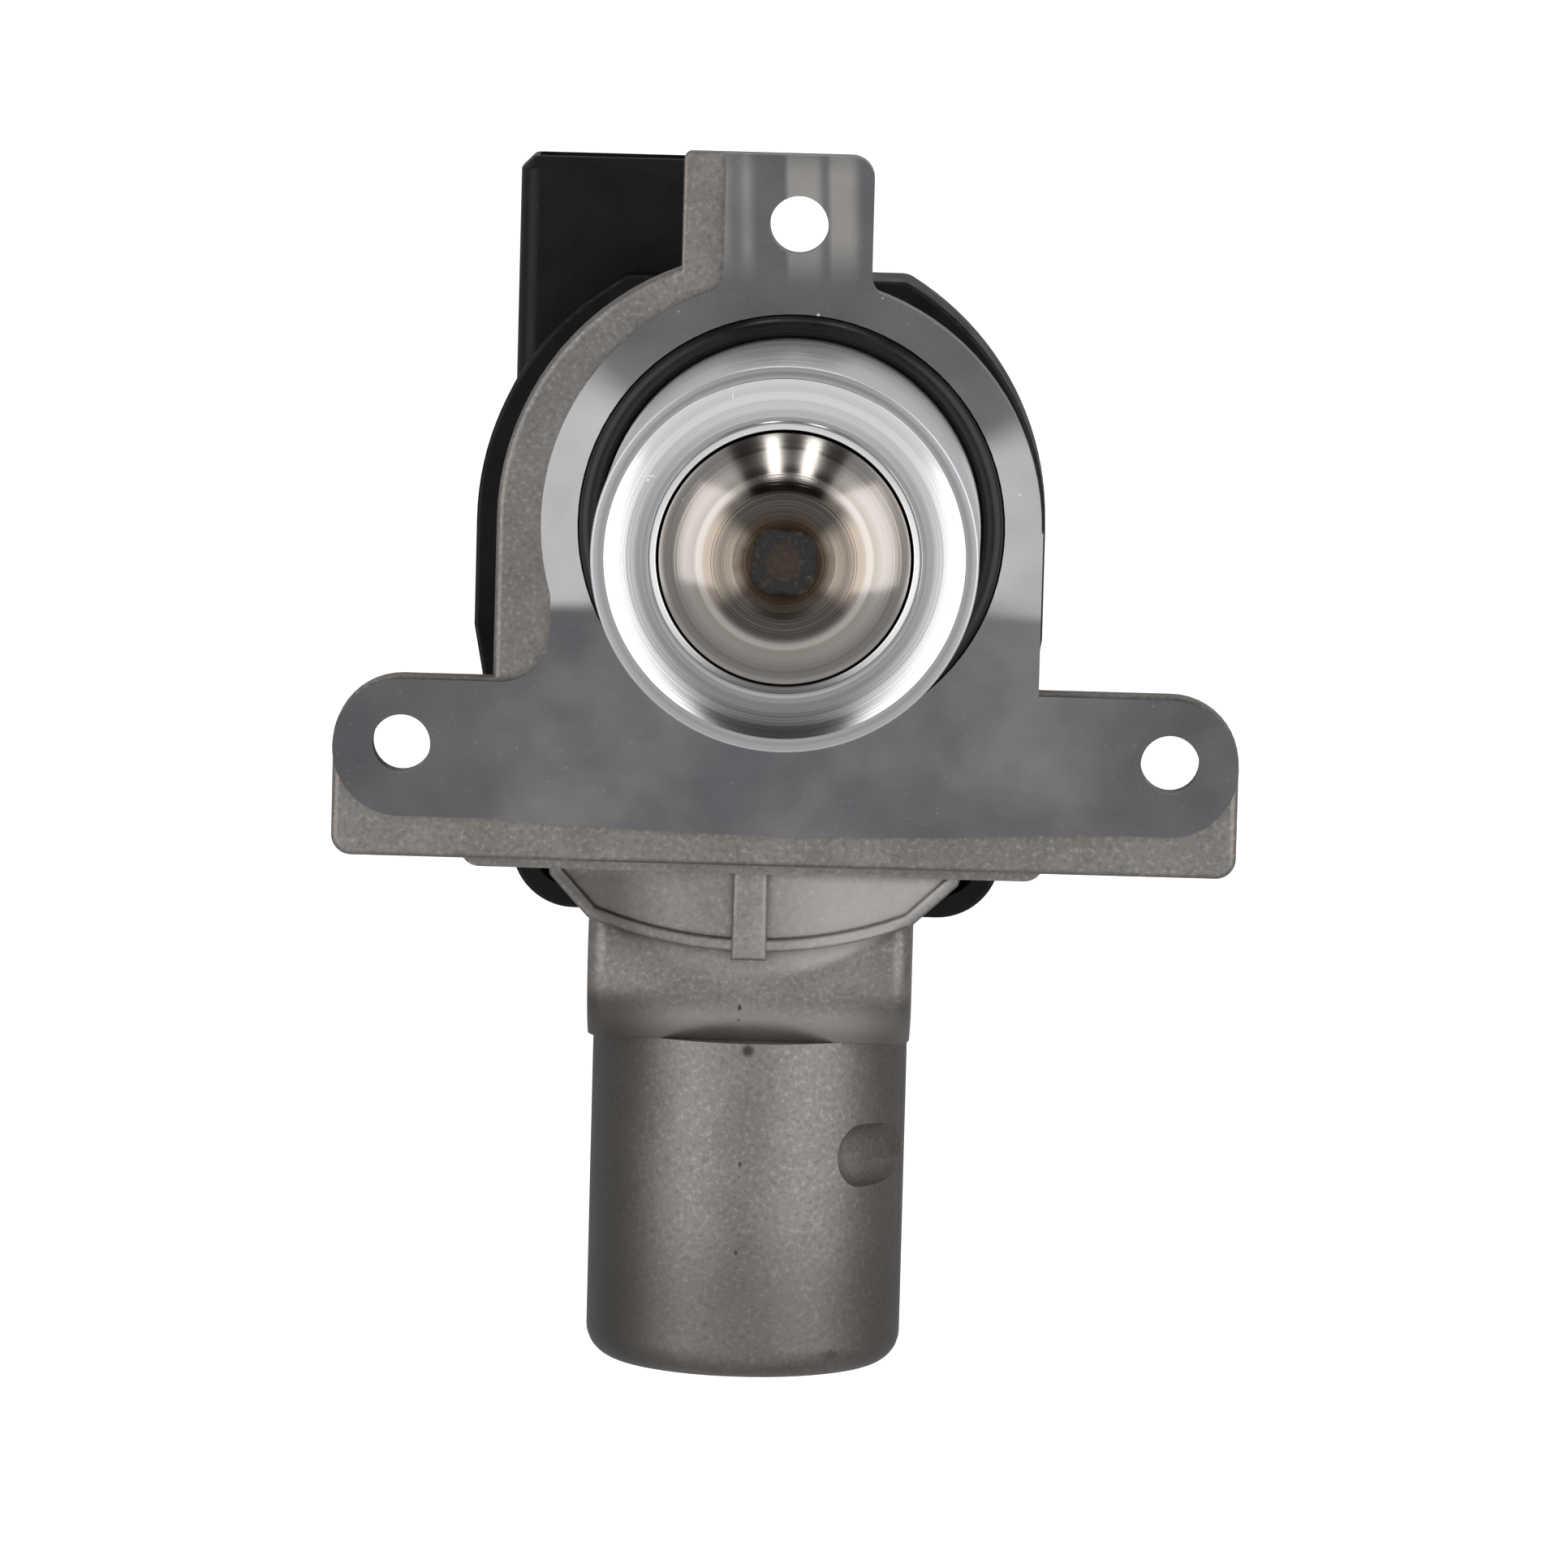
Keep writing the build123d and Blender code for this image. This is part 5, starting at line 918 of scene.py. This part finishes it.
def make_head():
    """Valve head with a hollow flank and a flat raised middle."""
    edge = HEAD_EDGE
    bore = STEM_R + STEM_GAP
    hub_z = HEAD_UNDER_Z - HEAD_HUB_DEPTH
    cone_z = HEAD_UNDER_Z - HEAD_CONE
    profile = [
        (bore, HEAD_TOP_Z), (bore, hub_z), (HEAD_HUB_R, hub_z),
        (HEAD_HUB_R + HEAD_HUB_FLARE, cone_z), (HEAD_R - HEAD_CONE, cone_z), (HEAD_R, HEAD_UNDER_Z),
        (HEAD_R, HEAD_RIM_Z - edge),
        *arc((HEAD_R - edge, HEAD_RIM_Z), (HEAD_TOP_R + edge * 0.4, HEAD_TOP_Z - edge * 1.2), -HEAD_HOLLOW,
             FLANK_STEPS),
        (HEAD_TOP_R, HEAD_TOP_Z - edge * 0.4), (HEAD_TOP_R - edge, HEAD_TOP_Z),
        (HEAD_TOP_R - HEAD_LAND, HEAD_TOP_Z - HEAD_DIP[0]),
        *((r, HEAD_TOP_Z - dip) for r, dip in zip(HEAD_DIP_R, HEAD_DIP)),
    ]
    return lathe("valve_head", profile)


def crust_point(a, b):
    """Place on the lumpy weld bead, at an angle round the axis and one round the bead."""
    square = 1 - CRUST_SQUARE * math.cos(4 * a + CRUST_TURN)
    r = (CRUST_R + CRUST_HALF_WIDTH * math.cos(b)) * square
    z = CRUST_HALF_HEIGHT * math.sin(b)
    spot = Vector((r * math.cos(a), r * math.sin(a), z))
    bumpy = noise.fractal(spot * CRUST_BUMPS_PER_MM, 1.0, 2.0, 4)
    spot.z += CRUST_BUMP * bumpy * (1 if z > 0 else 0)
    spot.x *= 1 + CRUST_WOBBLE * bumpy
    spot.y *= 1 + CRUST_WOBBLE * bumpy
    return spot.x * MM, spot.y * MM, (HEAD_TOP_Z + min(spot.z, CRUST_TOP)) * MM


def make_crust():
    """Lumpy weld bead, squarish when seen from the front."""
    around, rings = CRUST_STEPS
    mesh = bmesh.new()
    grid = []
    for k in range(around):
        a = 2 * math.pi * k / around
        grid.append([mesh.verts.new(crust_point(a, 2 * math.pi * j / rings)) for j in range(rings)])
    for k in range(around):
        for j in range(rings):
            n, m = (k + 1) % around, (j + 1) % rings
            mesh.faces.new((grid[k][j], grid[n][j], grid[n][m], grid[k][m]))
    bmesh.ops.recalc_face_normals(mesh, faces=mesh.faces)
    piece = object_from("weld_crust", mesh)
    shade(piece.data, CRUST_ANGLE)
    return piece


def make_stem_tip():
    """End of the stem inside the weld, with its centre dimple and a fine groove."""
    top = HEAD_TOP_Z + TIP_PROUD
    groove_in, groove_out = GROOVE_R
    edge_depth, middle_depth = TIP_DEPTH
    profile = [
        (0, top - DIMPLE_DEPTH), (DIMPLE_R, top - 0.05), (DIMPLE_R + DIMPLE_SLOPE, top),
        (groove_in - GROOVE_SLOPE, top - 0.01), (groove_in, top - GROOVE_DEPTH),
        (groove_out, top - GROOVE_DEPTH), (groove_out + GROOVE_SLOPE, top - 0.02),
        (TIP_R, top - 0.04), (TIP_R, top - edge_depth), (0, top - middle_depth),
    ]
    return lathe("stem_tip", profile, TIP_STEPS, closed=False)


def make_o_ring():
    """Round cord of the flange seal."""
    profile = []
    for k in range(CORD_STEPS):
        a = 2 * math.pi * k / CORD_STEPS
        profile.append((O_RING_R + O_RING_CORD_R * math.cos(a), O_RING_Z + O_RING_CORD_R * math.sin(a)))
    return lathe("flange_seal_cord", profile)


def paint(piece, material):
    """One material on a piece."""
    piece.data.materials.clear()
    piece.data.materials.append(material)


# ---- camera, light and floor ----
def make_camera():
    """Long lens looking down the valve's axis."""
    data = bpy.data.cameras.new("camera")
    data.sensor_width = SENSOR_MM
    data.lens = SENSOR_MM * FOCAL_PX / FRAME_PX
    data.clip_start, data.clip_end = CLIP
    camera = new_object("camera", data)
    back = EYE_DIRECTION
    right = (CAMERA_RIGHT - back * CAMERA_RIGHT.dot(back)).normalized()
    up = back.cross(right)
    turn = Matrix((right, up, back)).transposed().to_4x4()
    camera.matrix_world = Matrix.Translation(LOOK_AT + back * EYE_DISTANCE) @ turn
    bpy.context.scene.camera = camera


def softbox(name, azimuth, height, size, power):
    """Rectangular lamp aimed at the nozzle's foot."""
    data = bpy.data.lights.new(name, "AREA")
    data.shape = "RECTANGLE"
    data.size, data.size_y = size
    data.energy = power
    lamp = new_object(name, data)
    a, e = math.radians(azimuth), math.radians(height)
    away = Vector((math.cos(a) * math.cos(e), math.sin(a) * math.cos(e), math.sin(e)))
    lamp.location = away * LAMP_DISTANCE
    lamp.rotation_mode = "QUATERNION"
    lamp.rotation_quaternion = away.to_track_quat("Z", "Y")


def make_world():
    """Room bright towards the motor, dark past the lug and low down, and white to the camera itself."""
    world = bpy.data.worlds.new("room")
    world.use_nodes = True
    bpy.context.scene.world = world
    kit = Tree(world.node_tree)
    shader = world.node_tree.nodes["Background"]
    x, y, z = kit.split(kit.nodes.new("ShaderNodeTexCoord").outputs["Generated"])
    room = kit.times(kit.ramp(y, *ROOM_MOTOR_Y), kit.ramp(y, *ROOM_LUG_Y))
    sideways = kit.math("ABSOLUTE", x)
    beyond = kit.ramp(kit.minus(y, kit.times(sideways, ROOM_BEYOND_SLOPE)), *ROOM_BEYOND)
    room = kit.most(room, kit.times(kit.ramp(sideways, *ROOM_SIDES_X), beyond))
    room = kit.times(room, kit.ramp(z, *ROOM_LOW_Z))
    room = kit.join(room, room, kit.times(room, ROOM_BLUE))
    rays = kit.nodes.new("ShaderNodeLightPath").outputs
    kit.feed(shader.inputs["Color"], kit.mix(rays["Is Camera Ray"], room, WHITE))
    shader.inputs["Strength"].default_value = 1.0


def make_floor():
    """Pale floor under the cover, near white to the camera with a soft shadow."""
    mesh = bmesh.new()
    bmesh.ops.create_grid(mesh, x_segments=1, y_segments=1, size=FLOOR_SIZE)
    mesh.transform(Matrix.Translation((0, 0, cad_box[0].z - FLOOR_DROP)))
    floor = object_from("floor", mesh)
    material, kit, shader = new_material("pale_floor", 0.0, 0.9)
    shader["Base Color"].default_value = (FLOOR_TONE, FLOOR_TONE, FLOOR_TONE, 1)
    rays = kit.nodes.new("ShaderNodeLightPath").outputs
    shader["Emission Color"].default_value = (*WHITE, 1)
    kit.feed(shader["Emission Strength"], kit.times(rays["Is Camera Ray"], FLOOR_GLOW))
    paint(floor, material)


# ---- build ----
def make_pieces():
    """Materials on every node, and the pieces that stand for some of them."""
    by_slot = make_materials()
    slots = {entry["node"]: entry["material_slot"] for entry in frame["record"]["subparts"]}
    for node, piece in NODES.items():
        paint(piece, by_slot[slots[node]])

    turned = (
        (make_nozzle(), "nozzle", "turned_steel", "body"),
        (make_seat_ring(), "seat_ring", "seat_steel", "body"),
        (make_head(), "poppet_head", "head", "valve"),
        (make_crust(), "stem_weld", "weld_metal", "valve"),
        (make_o_ring(), "flange_o_ring", "seal_rubber", "body"),
    )
    for piece, node, material, body in turned:
        paint(piece, by_slot[material])
        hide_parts(node)
        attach(piece, body)
    tip = make_stem_tip()
    paint(tip, by_slot["weld_metal"])
    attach(tip, "valve")
    for node in ("housing", "rear_cover", "cover_screws"):
        piece = refined(node)
        paint(piece, by_slot[slots[node]])
    spring = refined("return_spring")
    paint(spring, by_slot[slots["return_spring"]])
    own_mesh(spring)


make_pieces()
make_camera()
for lamp in LAMPS:
    softbox(*lamp)
make_world()
make_floor()
bpy.context.scene.view_settings.view_transform = "Standard"
